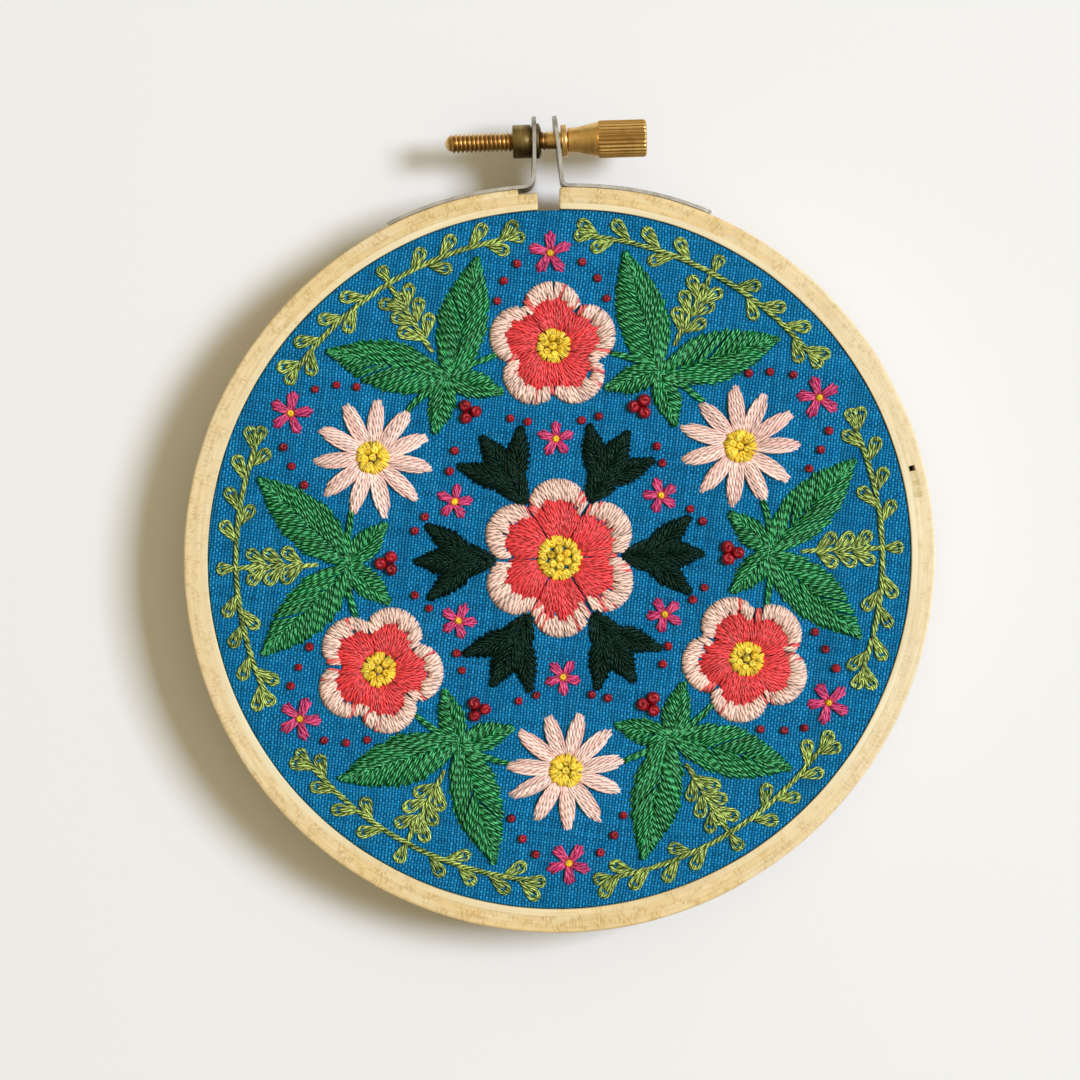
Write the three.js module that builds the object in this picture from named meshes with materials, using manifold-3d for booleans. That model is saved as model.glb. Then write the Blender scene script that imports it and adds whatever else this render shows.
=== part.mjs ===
// A four-inch embroidery hoop with its finished piece: a beech outer ring closed by a brass
// thumbscrew, an inner ring, blue cotton stretched over it drum tight, and a stitched garland.
// Millimetres, +Z up out of the cloth's face, the hoop lying on its back.
import * as THREE from "three";
import { mergeVertices } from "three/addons/utils/BufferGeometryUtils.js";
import Module from "manifold-3d";

const wasm = await Module();
wasm.setup();

// Clearance between neighbouring pieces, and how far two shapes that are joined run into each other
const GAP = 0.3;
const OVERLAP = 0.4;

// Rings
const OUTER_RADIUS = 54.8;
const OUTER_WALL = 3.4;
const RING_HEIGHT = 8;
const RING_BEVEL = 0.4;
const RING_SEGMENTS = 72;
const SPLIT_WIDTH = 3.4;
const INNER_WALL = 3.3;
// The hoop isn't quite round: drawn out along one line, and flatter and thinner beside the split
const OVAL = { reach: 0.2, along: THREE.MathUtils.degToRad(33) };
const FLAT = { depth: 0.35, spread: THREE.MathUtils.degToRad(14) };
const SPLIT_THINNING = 0.2;

// Middle ply's butt joint in the outer ring, and the chipped corner under the left bracket
const JOINT_ANGLE = THREE.MathUtils.degToRad(13.4);
const JOINT_DEPTH_FROM_INSIDE = 1.2;
const JOINT_RADIAL = 1.0;
const JOINT_WIDTH = 0.9;
const CHIP_LENGTH = 2.9;
const CHIP_DEPTH = 0.7;

// Cloth
const CLOTH_THICKNESS = 1;
const CLOTH_TOP = 7.5;
const CLOTH_RADIUS = OUTER_RADIUS - OUTER_WALL - GAP;
const CLOTH_EDGE_ROUND = 0.6;
const CLOTH_HEM_Z = 0.5;

// Steel brackets
const STRIP_THICKNESS = 0.62;
const STRIP_WIDTH = 7;
const STRIP_END_ANGLE = THREE.MathUtils.degToRad(25.5);
const EAR_FOOT_X = 2.05;
const EAR_TOP_RADIUS = 64.9;
const EAR_CORNER = 2.2;
const EARS = {
  left: { side: -1, lean: THREE.MathUtils.degToRad(1.6), bend: 1.6, hole: 2.35 },
  right: { side: 1, lean: THREE.MathUtils.degToRad(5.2), bend: 1.1, hole: 1.8 },
};
const TACK_ANGLE = THREE.MathUtils.degToRad(18);
const TACK_RADIUS = 0.9;
const TACK_HEIGHT = 0.25;

// Brass thumbscrew, nut and washer, on an axis along X
const SCREW_RADIUS_FROM_CENTRE = 61.4;
const SCREW_Z = RING_HEIGHT / 2;
const THREAD_PITCH = 0.635;
const THREAD_MAJOR = 1.42;
const THREAD_MINOR = 1.08;
const THREAD_SIDES = 10;
const THREAD_ROWS_PER_TURN = 4;
const TIP_X = -14.9;
const TIP_LENGTH = 1.1;
const TIP_RADIUS = 0.45;
const THREAD_END_X = -0.6;
const SHANK_RADIUS = 1.3;
const KNOB_NECK = [
  { x: 3.25, radius: 1.65 },
  { x: 4.8, radius: 1.72 },
  { x: 6.1, radius: 2.1 },
  { x: 7.3, radius: 2.52 },
  { x: 7.7, radius: 2.52 },
];
const GRIP_START_X = 7.5;
const GRIP_END_X = 14.7;
const GRIP_RADIUS = 2.75;
const KNURL_DEPTH = 0.22;
const KNURLS = 28;
const GRIP_BEVEL = 0.25;
const ROUND_SIDES = 20;
const NUT = { startX: -5, bodyRadius: 2.5, neckRadius: 2.05, flangeRadius: 2.65, flange: 0.5, bore: 1.72 };
const WASHER = { startX: 2.15, endX: 2.95, radius: 2.38, bore: 1.62 };

// Stitched garland: six flowers on a circle, a spray of leaves between each two, and one
// flower in the middle. Angles are in degrees from +X, seen from the front.
const STITCH_Z = CLOTH_TOP + GAP;
const STITCH_HEIGHT = 0.8;
const SECTORS = 6;
const SECTOR_DEG = 360 / SECTORS;
const FIRST_FLOWER_DEG = 30;
const GARLAND_RADIUS = 31;
const STEM_WIDTH = 1.2;
const STEM_CLEAR_DEG = 18.4;
const STEM_STEPS = 6;
const LEAF = { length: 18.6, width: 7.4, tilt: 44, foot: 0.6 };
const INWARD_LEAF = { length: 8.4, width: 4, tilt: 136 };
const DARK_LEAF = { start: 9.2, length: 12, width: 5.2 };
const DARK_SIDE_LEAF = { start: 12.6, length: 8.6, width: 3.6, tilt: 40 };
const CENTRE_FLOWER = { radius: 11.6, petals: 6, waist: 0.66, eye: 2.9 };
const BLOSSOM = { radius: 9.4, petals: 5, waist: 0.66, eye: 2.2 };
const DAISY = { radius: 9.2, petals: 11, waist: 0.7, eye: 2.1 };
const SMALL_FLOWER = { petals: 5, waist: 0.55 };
const POINTS_PER_PETAL = { broad: 6, narrow: 4 };
const SMALL_FLOWER_PLACES = [
  { name: "outer", distance: 44.6, radius: 3.3 },
  { name: "inner", distance: 17.4, radius: 2.7 },
];
const SPRIG = { start: 35.25, end: 45.4, stem: 0.8, leafLength: 3.9, leafWidth: 1.7, tilt: 38 };
const SPRIG_PAIRS = [37.4, 40, 42.6];
// Each sprig hangs from a length of vine along the rim. Its leaves grow at these angles either side
// of its middle.
const VINE = { radius: 47.2, reachDeg: 22.8, stem: 0.7, steps: 12, tilt: 35, shortLeaf: 2.9 };
const VINE_LEAVES = { outward: [4.5, 10, 15.5, 21], inward: [7.2, 18.2] };
const BERRIES = { radius: 25.1, knot: 1.1, spread: 1, count: 3 };
const LEAF_SIDES = 10;
const SPRIG_LEAF_SIDES = 6;
const KNOT_SIDES = 8;
const EYE_SIDES = 10;
const EYE_HEIGHT = 1.3;

const material = (color, roughness, metalness = 0) =>
  new THREE.MeshStandardMaterial({ color, roughness, metalness });
const FINISHES = {
  wood: material(0xe8cf98, 0.6),
  cotton: material(0x146e9e, 0.85),
  steel: material(0xa7a49c, 0.35, 1),
  brass: material(0xb98b45, 0.3, 1),
  agedBrass: material(0x6f5830, 0.4, 1),
  emerald: material(0x1f7a3c, 0.6),
  bottle: material(0x12261f, 0.6),
  lime: material(0x97a93c, 0.6),
  coral: material(0xe04648, 0.6),
  blush: material(0xefc9bd, 0.6),
  magenta: material(0xb8336a, 0.6),
  crimson: material(0xa31d33, 0.6),
  yellow: material(0xf0c332, 0.6),
};

// A closed three.js geometry as a solid for cutting and joining.
function solidFrom(geometry) {
  const bare = geometry.index ? geometry.toNonIndexed() : geometry.clone();
  bare.deleteAttribute("normal");
  bare.deleteAttribute("uv");
  const merged = mergeVertices(bare, 1e-3);
  return new wasm.Manifold(
    new wasm.Mesh({
      numProp: 3,
      vertProperties: merged.attributes.position.array,
      triVerts: new Uint32Array(merged.index.array),
    }),
  );
}

function geometryFrom(solid) {
  const mesh = solid.getMesh();
  const geometry = new THREE.BufferGeometry();
  geometry.setAttribute("position", new THREE.BufferAttribute(mesh.vertProperties, 3));
  geometry.setIndex(new THREE.BufferAttribute(mesh.triVerts, 1));
  geometry.computeVertexNormals();
  return geometry;
}

const joined = (geometries) =>
  geometryFrom(geometries.map(solidFrom).reduce((sum, solid) => sum.add(solid)));

// A profile of [radius, height] points turned about Z.
function turnedAboutZ(profile, segments) {
  const points = profile.map(([radius, height]) => new THREE.Vector2(radius, height));
  return new THREE.LatheGeometry(points, segments).rotateX(Math.PI / 2);
}

// A profile of [x, radius] points turned about X.
function turnedAboutX(profile, segments) {
  const points = profile.map(([x, radius]) => new THREE.Vector2(radius, x));
  return new THREE.LatheGeometry(points, segments).rotateZ(-Math.PI / 2);
}

function cylinderAlongX(radius, startX, endX, segments = ROUND_SIDES) {
  return new THREE.CylinderGeometry(radius, radius, endX - startX, segments)
    .rotateZ(-Math.PI / 2)
    .translate((startX + endX) / 2, 0, 0);
}

// How near to the split an angle about the hoop's middle is: 1 at it, falling as a bell curve.
function nearSplit(angle) {
  const away = Math.atan2(-Math.cos(angle), Math.sin(angle)) / FLAT.spread;
  return Math.exp(-away * away);
}

// How far a wall of the hoop stands off its true circle at an angle. through is 0 for the outer
// ring's inside wall, and for what lies inside it, and 1 for its outside wall.
function offRound(angle, through = 0) {
  const oval = OVAL.reach * Math.cos(2 * (angle - OVAL.along));
  return oval - (FLAT.depth + SPLIT_THINNING * through) * nearSplit(angle);
}

// Moves each point of a ring or disc with the wall that it belongs to.
function pressedOutOfRound(geometry) {
  const position = geometry.attributes.position;
  const insideRadius = OUTER_RADIUS - OUTER_WALL;
  for (let i = 0; i < position.count; i++) {
    const radius = Math.hypot(position.getX(i), position.getY(i));
    const angle = Math.atan2(position.getY(i), position.getX(i));
    const through = THREE.MathUtils.clamp((radius - insideRadius) / OUTER_WALL, 0, 1);
    const share = Math.min(radius / insideRadius, 1);
    const factor = radius > 1 ? 1 + (share * offRound(angle, through)) / radius : 1;
    position.setX(i, position.getX(i) * factor);
    position.setY(i, position.getY(i) * factor);
  }
  return geometry;
}

// Outer ring: one bent strip of laminated beech whose ends stop either side of the split.
function outerRing() {
  const insideRadius = OUTER_RADIUS - OUTER_WALL;
  const outerSplit = Math.asin(SPLIT_WIDTH / 2 / OUTER_RADIUS);
  const innerSplit = Math.asin(SPLIT_WIDTH / 2 / insideRadius);
  const top = Math.PI / 2;
  const shape = new THREE.Shape();
  shape.absarc(0, 0, OUTER_RADIUS, top + outerSplit, top - outerSplit + 2 * Math.PI, false);
  shape.absarc(0, 0, insideRadius, top - innerSplit + 2 * Math.PI, top + innerSplit, true);
  const strip = new THREE.ExtrudeGeometry(shape, {
    depth: RING_HEIGHT - 2 * RING_BEVEL,
    bevelEnabled: true,
    bevelThickness: RING_BEVEL,
    bevelSize: RING_BEVEL,
    bevelOffset: -RING_BEVEL,
    bevelSegments: 1,
    curveSegments: RING_SEGMENTS / 2,
  }).translate(0, 0, RING_BEVEL);
  pressedOutOfRound(strip);
  const joint = new THREE.BoxGeometry(JOINT_RADIAL, JOINT_WIDTH, 2 * RING_HEIGHT)
    .translate(insideRadius + JOINT_DEPTH_FROM_INSIDE + JOINT_RADIAL / 2, 0, SCREW_Z)
    .rotateZ(JOINT_ANGLE);
  const chip = new THREE.BoxGeometry(2 * CHIP_LENGTH, 2 * CHIP_DEPTH, 2 * RING_HEIGHT)
    .translate(-SPLIT_WIDTH / 2, OUTER_RADIUS + offRound(top, 1), SCREW_Z);
  return geometryFrom(solidFrom(strip).subtract(solidFrom(joint)).subtract(solidFrom(chip)));
}

function innerRing() {
  const outside = CLOTH_RADIUS - CLOTH_THICKNESS - GAP;
  const inside = outside - INNER_WALL;
  const top = CLOTH_TOP - CLOTH_THICKNESS - GAP;
  const profile = [
    [inside, 0],
    [outside, 0],
    [outside, top],
    [inside, top],
    [inside, 0],
  ];
  return pressedOutOfRound(turnedAboutZ(profile, RING_SEGMENTS));
}

// Cloth: a flat face drawn over the inner ring's edge and down between the two rings.
function cloth() {
  const inside = CLOTH_RADIUS - CLOTH_THICKNESS;
  const profile = [
    [0, CLOTH_TOP - CLOTH_THICKNESS],
    [inside, CLOTH_TOP - CLOTH_THICKNESS],
    [inside, CLOTH_HEM_Z],
    [CLOTH_RADIUS, CLOTH_HEM_Z],
    [CLOTH_RADIUS, CLOTH_TOP - CLOTH_EDGE_ROUND],
    [CLOTH_RADIUS - CLOTH_EDGE_ROUND * 0.3, CLOTH_TOP - CLOTH_EDGE_ROUND * 0.3],
    [CLOTH_RADIUS - CLOTH_EDGE_ROUND, CLOTH_TOP],
    [0, CLOTH_TOP],
  ];
  return pressedOutOfRound(turnedAboutZ(profile, RING_SEGMENTS));
}

// Centre line of a bracket in the XY plane: along the ring, round the bend and up the ear.
function bracketLine({ side, lean, bend }) {
  const stripRadius = (fromTop) =>
    OUTER_RADIUS + GAP + STRIP_THICKNESS / 2 + offRound(Math.PI / 2 - side * fromTop, 1);
  const arcSteps = 7;
  const bendSteps = 5;
  const points = [];
  const bendCentreX = EAR_FOOT_X + bend;
  const bendRadius = stripRadius(bendCentreX / OUTER_RADIUS) + bend;
  const bendCentreY = Math.sqrt(bendRadius ** 2 - bendCentreX ** 2);
  const meetAngle = Math.atan2(bendCentreX, bendCentreY);
  for (let i = 0; i <= arcSteps; i++) {
    const angle = THREE.MathUtils.lerp(STRIP_END_ANGLE, meetAngle, i / arcSteps);
    const radius = stripRadius(angle);
    points.push(new THREE.Vector2(Math.sin(angle) * radius, Math.cos(angle) * radius));
  }
  const bendFrom = -Math.PI / 2 - meetAngle;
  const bendTo = -Math.PI + lean * -1;
  for (let i = 1; i <= bendSteps; i++) {
    const angle = THREE.MathUtils.lerp(bendFrom, bendTo, i / bendSteps);
    points.push(
      new THREE.Vector2(bendCentreX + bend * Math.cos(angle), bendCentreY + bend * Math.sin(angle)),
    );
  }
  const foot = points[points.length - 1];
  const rise = EAR_TOP_RADIUS - foot.y;
  points.push(new THREE.Vector2(foot.x - rise * Math.tan(lean), EAR_TOP_RADIUS));
  return points.map((point) => new THREE.Vector2(side * point.x, point.y));
}

// The outline of a strip of even thickness along a line.
function stripOutline(line, thickness) {
  const leftSide = [];
  const rightSide = [];
  line.forEach((point, i) => {
    const before = line[Math.max(i - 1, 0)];
    const after = line[Math.min(i + 1, line.length - 1)];
    const along = after.clone().sub(before).normalize();
    const across = new THREE.Vector2(-along.y, along.x).multiplyScalar(thickness / 2);
    leftSide.push(point.clone().add(across));
    rightSide.push(point.clone().sub(across));
  });
  return new THREE.Shape([...leftSide, ...rightSide.reverse()]);
}

function bracket(ear) {
  const strip = new THREE.ExtrudeGeometry(stripOutline(bracketLine(ear), STRIP_THICKNESS), {
    depth: STRIP_WIDTH,
    bevelEnabled: false,
  }).translate(0, 0, SCREW_Z - STRIP_WIDTH / 2);
  const half = STRIP_WIDTH / 2;
  const blank = new THREE.Shape();
  blank.moveTo(-half, 0);
  blank.lineTo(half, 0);
  blank.lineTo(half, EAR_TOP_RADIUS - EAR_CORNER);
  blank.absarc(half - EAR_CORNER, EAR_TOP_RADIUS - EAR_CORNER, EAR_CORNER, 0, Math.PI / 2, false);
  blank.absarc(-half + EAR_CORNER, EAR_TOP_RADIUS - EAR_CORNER, EAR_CORNER, Math.PI / 2, Math.PI, false);
  const roundedEnd = new THREE.ExtrudeGeometry(blank, {
    depth: 2 * OUTER_RADIUS,
    bevelEnabled: false,
    curveSegments: 4,
  })
    .rotateY(Math.PI / 2)
    .translate(-OUTER_RADIUS, 0, SCREW_Z);
  const hole = cylinderAlongX(ear.hole, -4, 4).translate(0, SCREW_RADIUS_FROM_CENTRE, SCREW_Z);
  const tackOffset = offRound(Math.PI / 2 - ear.side * TACK_ANGLE, 1);
  const tackBase = OUTER_RADIUS + GAP + STRIP_THICKNESS / 2 + tackOffset;
  const tack = new THREE.CylinderGeometry(
    TACK_RADIUS * 0.6,
    TACK_RADIUS,
    STRIP_THICKNESS / 2 + TACK_HEIGHT,
    EYE_SIDES,
  )
    .translate(0, tackBase + (STRIP_THICKNESS / 2 + TACK_HEIGHT) / 2, 0)
    .rotateZ(-ear.side * TACK_ANGLE)
    .translate(0, 0, SCREW_Z);
  return geometryFrom(
    solidFrom(strip).intersect(solidFrom(roundedEnd)).subtract(solidFrom(hole)).add(solidFrom(tack)),
  );
}

// Where an ear's centre plane crosses the screw's axis.
function earX(ear) {
  const line = bracketLine(ear);
  const foot = line[line.length - 2];
  const rise = SCREW_RADIUS_FROM_CENTRE - foot.y;
  return foot.x - ear.side * rise * Math.tan(ear.lean);
}

// Nut: a round barrel left of the ear, a neck through it and a flange closed over on its right.
function nut() {
  const ear = EARS.left;
  const leanRoom = NUT.flangeRadius * Math.tan(ear.lean);
  const halfEar = STRIP_THICKNESS / 2 + leanRoom + GAP;
  const barrelEnd = earX(ear) - halfEar;
  const flangeStart = earX(ear) + halfEar;
  const profile = [
    [NUT.startX, NUT.bore],
    [NUT.startX, NUT.bodyRadius],
    [barrelEnd, NUT.bodyRadius],
    [barrelEnd, NUT.neckRadius],
    [flangeStart, NUT.neckRadius],
    [flangeStart, NUT.flangeRadius],
    [flangeStart + NUT.flange, NUT.flangeRadius - 0.2],
    [flangeStart + NUT.flange, NUT.bore],
    [NUT.startX, NUT.bore],
  ];
  return turnedAboutX(profile, ROUND_SIDES);
}

function washer() {
  const profile = [
    [WASHER.startX, WASHER.bore],
    [WASHER.startX, WASHER.radius],
    [WASHER.endX, WASHER.radius],
    [WASHER.endX, WASHER.bore],
    [WASHER.startX, WASHER.bore],
  ];
  return turnedAboutX(profile, ROUND_SIDES);
}

// A right-handed thread: the radius rises and falls once for each pitch along the rod, and the
// phase turns once with the angle. It fades into a blunt point at the tip.
function threadedRod() {
  const length = THREAD_END_X - TIP_X;
  const rows = Math.round((length / THREAD_PITCH) * THREAD_ROWS_PER_TURN);
  const rod = new THREE.CylinderGeometry(1, 1, length, THREAD_SIDES, rows)
    .rotateZ(-Math.PI / 2)
    .translate((TIP_X + THREAD_END_X) / 2, 0, 0);
  const position = rod.attributes.position;
  for (let i = 0; i < position.count; i++) {
    const x = position.getX(i);
    const angle = Math.atan2(position.getZ(i), position.getY(i));
    const onAxis = Math.hypot(position.getY(i), position.getZ(i)) < 1e-6;
    const phase = x / THREAD_PITCH - angle / (2 * Math.PI);
    const crest = Math.abs(2 * (phase - Math.floor(phase)) - 1);
    const fade = THREE.MathUtils.clamp((x - TIP_X) / TIP_LENGTH, 0, 1);
    const ceiling = THREE.MathUtils.lerp(TIP_RADIUS, THREAD_MAJOR, Math.sqrt(fade));
    const thread = THREE.MathUtils.lerp(THREAD_MINOR, THREAD_MAJOR, crest);
    const radius = onAxis ? 0 : Math.min(thread, ceiling);
    position.setY(i, radius * Math.cos(angle));
    position.setZ(i, radius * Math.sin(angle));
  }
  return rod;
}

// Grip: a rod with straight knurls, its two ends bevelled.
function grip() {
  const steps = 2 * KNURLS;
  const outline = [];
  for (let i = 0; i < steps; i++) {
    const angle = (2 * Math.PI * i) / steps;
    const radius = i % 2 ? GRIP_RADIUS - KNURL_DEPTH : GRIP_RADIUS;
    outline.push(new THREE.Vector2(radius * Math.cos(angle), radius * Math.sin(angle)));
  }
  return new THREE.ExtrudeGeometry(new THREE.Shape(outline), {
    depth: GRIP_END_X - GRIP_START_X - 2 * GRIP_BEVEL,
    bevelEnabled: true,
    bevelThickness: GRIP_BEVEL,
    bevelSize: GRIP_BEVEL,
    bevelOffset: -GRIP_BEVEL,
    bevelSegments: 1,
  })
    .translate(0, 0, GRIP_START_X + GRIP_BEVEL)
    .rotateY(Math.PI / 2);
}

function screw() {
  const neckStart = KNOB_NECK[0].x;
  const neckEnd = KNOB_NECK[KNOB_NECK.length - 1].x;
  const neck = turnedAboutX(
    [
      [neckStart, 0],
      ...KNOB_NECK.map(({ x, radius }) => [x, radius]),
      [neckEnd, 0],
    ],
    ROUND_SIDES,
  );
  const shank = cylinderAlongX(SHANK_RADIUS, THREAD_END_X - OVERLAP, neckStart + OVERLAP);
  return joined([threadedRod(), shank, neck, grip()]);
}

// A point at a radius and an angle in degrees, on the cloth.
function onCloth(radius, degrees) {
  const angle = THREE.MathUtils.degToRad(degrees);
  return new THREE.Vector2(radius * Math.cos(angle), radius * Math.sin(angle));
}

// Stitching as a raised pad of an outline, just clear of the cloth.
function pad(shape, sides = LEAF_SIDES) {
  return new THREE.ExtrudeGeometry(shape, {
    depth: STITCH_HEIGHT,
    bevelEnabled: false,
    curveSegments: sides / 2,
  }).translate(0, 0, STITCH_Z);
}

// A pointed leaf from the origin along +X, turned and moved to its place.
function leafPad({ length, width }, place, degrees, sides = LEAF_SIDES) {
  const shape = new THREE.Shape();
  shape.moveTo(0, 0);
  shape.bezierCurveTo(length * 0.22, width * 0.72, length * 0.7, width * 0.62, length, 0);
  shape.bezierCurveTo(length * 0.7, -width * 0.62, length * 0.22, -width * 0.72, 0, 0);
  return pad(shape, sides)
    .rotateZ(THREE.MathUtils.degToRad(degrees))
    .translate(place.x, place.y, 0);
}

// A flower seen from above: the radius swells once for each petal, round an open eye.
function flowerPad({ radius, petals, waist, eye = 0 }, place, degrees, pointsPerPetal) {
  const steps = petals * pointsPerPetal;
  const outline = [];
  for (let i = 0; i < steps; i++) {
    const angle = (2 * Math.PI * i) / steps;
    const swell = Math.sqrt(Math.abs(Math.cos((petals * angle) / 2)));
    const reach = radius * (waist + (1 - waist) * swell);
    outline.push(new THREE.Vector2(reach * Math.cos(angle), reach * Math.sin(angle)));
  }
  const shape = new THREE.Shape(outline);
  if (eye) {
    const hole = new THREE.Path();
    hole.absarc(0, 0, (eye + GAP) / Math.cos(Math.PI / EYE_SIDES), 0, 2 * Math.PI, true);
    shape.holes.push(hole);
  }
  return pad(shape)
    .rotateZ(THREE.MathUtils.degToRad(degrees))
    .translate(place.x, place.y, 0);
}

// The heap of knots in a flower's eye, as a low dome.
function eyePad(radius, place) {
  const profile = [
    [0, STITCH_Z],
    [radius, STITCH_Z],
    [radius, STITCH_Z + EYE_HEIGHT * 0.55],
    [radius * 0.6, STITCH_Z + EYE_HEIGHT],
    [0, STITCH_Z + EYE_HEIGHT],
  ];
  return turnedAboutZ(profile, EYE_SIDES).translate(place.x, place.y, 0);
}

// A spray: a length of the garland's stem, two leaves spread outwards from its middle and two
// smaller ones inwards.
function sprayPads(middleDeg) {
  const half = SECTOR_DEG / 2 - STEM_CLEAR_DEG;
  const line = [];
  for (let i = 0; i <= STEM_STEPS; i++) {
    line.push(onCloth(GARLAND_RADIUS, middleDeg - half + (2 * half * i) / STEM_STEPS));
  }
  const foot = onCloth(GARLAND_RADIUS - LEAF.foot, middleDeg);
  return joined([
    pad(stripOutline(line, STEM_WIDTH)),
    leafPad(LEAF, foot, middleDeg + LEAF.tilt),
    leafPad(LEAF, foot, middleDeg - LEAF.tilt),
    leafPad(INWARD_LEAF, onCloth(GARLAND_RADIUS, middleDeg), middleDeg + INWARD_LEAF.tilt),
    leafPad(INWARD_LEAF, onCloth(GARLAND_RADIUS, middleDeg), middleDeg - INWARD_LEAF.tilt),
  ]);
}

// Dark leaves: a long one away from the middle flower, and a shorter one on either side of it.
function darkLeafPads(degrees) {
  const sideFoot = onCloth(DARK_SIDE_LEAF.start, degrees);
  return joined([
    leafPad(DARK_LEAF, onCloth(DARK_LEAF.start, degrees), degrees),
    leafPad(DARK_SIDE_LEAF, sideFoot, degrees + DARK_SIDE_LEAF.tilt),
    leafPad(DARK_SIDE_LEAF, sideFoot, degrees - DARK_SIDE_LEAF.tilt),
  ]);
}

// A vine: a stem along the rim with small leaves on both sides and one at each end.
function vinePads(middleDeg, leaf) {
  const { radius, reachDeg, stem, steps, tilt, shortLeaf } = VINE;
  const line = [];
  for (let i = 0; i <= steps; i++) {
    line.push(onCloth(radius, middleDeg - reachDeg + (2 * reachDeg * i) / steps));
  }
  const short = { ...leaf, length: shortLeaf };
  const pads = [
    pad(stripOutline(line, stem)),
    leafPad(short, onCloth(radius, middleDeg), middleDeg, SPRIG_LEAF_SIDES),
  ];
  [1, -1].forEach((side) => {
    const addLeaf = (size, fromMiddle, turn) => {
      const degrees = middleDeg + side * fromMiddle;
      pads.push(leafPad(size, onCloth(radius, degrees), degrees + side * turn, SPRIG_LEAF_SIDES));
    };
    VINE_LEAVES.outward.forEach((fromMiddle) => addLeaf(leaf, fromMiddle, 90 - tilt));
    VINE_LEAVES.inward.forEach((fromMiddle) => addLeaf(leaf, fromMiddle, 90 + tilt));
    addLeaf(short, reachDeg - 0.8, 90);
  });
  return pads;
}

// A sprig: a straight stem inwards from the vine with small leaves in pairs and one near the vine.
function sprigPads(degrees) {
  const { start, end, stem, leafLength, leafWidth, tilt } = SPRIG;
  const leaf = { length: leafLength, width: leafWidth };
  const stemLine = [onCloth(start, degrees), onCloth(VINE.radius, degrees)];
  const pads = [
    pad(stripOutline(stemLine, stem)),
    leafPad(leaf, onCloth(end - leafLength, degrees), degrees, SPRIG_LEAF_SIDES),
    ...vinePads(degrees, leaf),
  ];
  SPRIG_PAIRS.forEach((radius) => {
    const joint = onCloth(radius, degrees);
    pads.push(leafPad(leaf, joint, degrees + tilt, SPRIG_LEAF_SIDES));
    pads.push(leafPad(leaf, joint, degrees - tilt, SPRIG_LEAF_SIDES));
  });
  return joined(pads);
}

// Berries: knots worked side by side until they touch.
function berryPads(place, degrees) {
  const knots = [];
  for (let i = 0; i < BERRIES.count; i++) {
    const offset = onCloth(BERRIES.spread, degrees + (360 * i) / BERRIES.count);
    const circle = new THREE.Shape();
    circle.absarc(place.x + offset.x, place.y + offset.y, BERRIES.knot, 0, 2 * Math.PI, false);
    knots.push(pad(circle, KNOT_SIDES));
  }
  return joined(knots);
}

const part = new THREE.Group();
const hoop = new THREE.Group();
// The part's origin is under the middle of its whole outline, ears included.
hoop.position.y = -(EAR_TOP_RADIUS - OUTER_RADIUS - offRound(-Math.PI / 2, 1)) / 2;
part.add(hoop);
const fastening = new THREE.Group();
fastening.position.set(0, SCREW_RADIUS_FROM_CENTRE, SCREW_Z);
hoop.add(fastening);

function addPiece(group, name, geometry, finish) {
  const mesh = new THREE.Mesh(geometry, finish);
  mesh.name = name;
  group.add(mesh);
}

addPiece(hoop, "outer_ring", outerRing(), FINISHES.wood);
addPiece(hoop, "inner_ring", innerRing(), FINISHES.wood);
addPiece(hoop, "cloth", cloth(), FINISHES.cotton);
addPiece(hoop, "left_bracket", bracket(EARS.left), FINISHES.steel);
addPiece(hoop, "right_bracket", bracket(EARS.right), FINISHES.steel);
addPiece(fastening, "nut", nut(), FINISHES.agedBrass);
addPiece(fastening, "washer", washer(), FINISHES.brass);
addPiece(fastening, "screw", screw(), FINISHES.brass);

const middle = new THREE.Vector2(0, 0);
const centrePetals = flowerPad(CENTRE_FLOWER, middle, FIRST_FLOWER_DEG, POINTS_PER_PETAL.broad);
addPiece(hoop, "centre_petals", centrePetals, FINISHES.coral);
addPiece(hoop, "centre_eye", eyePad(CENTRE_FLOWER.eye, middle), FINISHES.yellow);

for (let sector = 0; sector < SECTORS; sector++) {
  const label = sector + 1;
  const isBlossom = sector % 2 === 1;
  const flowerDeg = FIRST_FLOWER_DEG + SECTOR_DEG * sector;
  const sprayDeg = flowerDeg + SECTOR_DEG / 2;
  const flower = isBlossom ? BLOSSOM : DAISY;
  const petals = isBlossom ? FINISHES.coral : FINISHES.blush;
  const pointsPerPetal = isBlossom ? POINTS_PER_PETAL.broad : POINTS_PER_PETAL.narrow;
  const place = onCloth(GARLAND_RADIUS, flowerDeg);
  const petalPad = flowerPad(flower, place, flowerDeg, pointsPerPetal);
  addPiece(hoop, `petals_${label}`, petalPad, petals);
  addPiece(hoop, `eye_${label}`, eyePad(flower.eye, place), FINISHES.yellow);
  addPiece(hoop, `spray_${label}`, sprayPads(sprayDeg), FINISHES.emerald);
  addPiece(hoop, `sprig_${label}`, sprigPads(sprayDeg), FINISHES.lime);
  addPiece(hoop, `dark_leaf_${label}`, darkLeafPads(sprayDeg), FINISHES.bottle);
  addPiece(hoop, `berries_${label}`, berryPads(onCloth(BERRIES.radius, sprayDeg), sprayDeg), FINISHES.crimson);
  SMALL_FLOWER_PLACES.forEach(({ name, distance, radius }) => {
    const spot = onCloth(distance, flowerDeg);
    const small = flowerPad({ ...SMALL_FLOWER, radius }, spot, flowerDeg, POINTS_PER_PETAL.narrow);
    addPiece(hoop, `${name}_flower_${label}`, small, FINISHES.magenta);
  });
}

export default part;
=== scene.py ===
"""A stitched garland on blue cotton, held in a four-inch wooden embroidery hoop.

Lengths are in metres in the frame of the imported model. MM turns a size written in millimetres
into metres. Angles round the hoop are counted from +X, seen from the stitched side.
"""

import math

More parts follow.
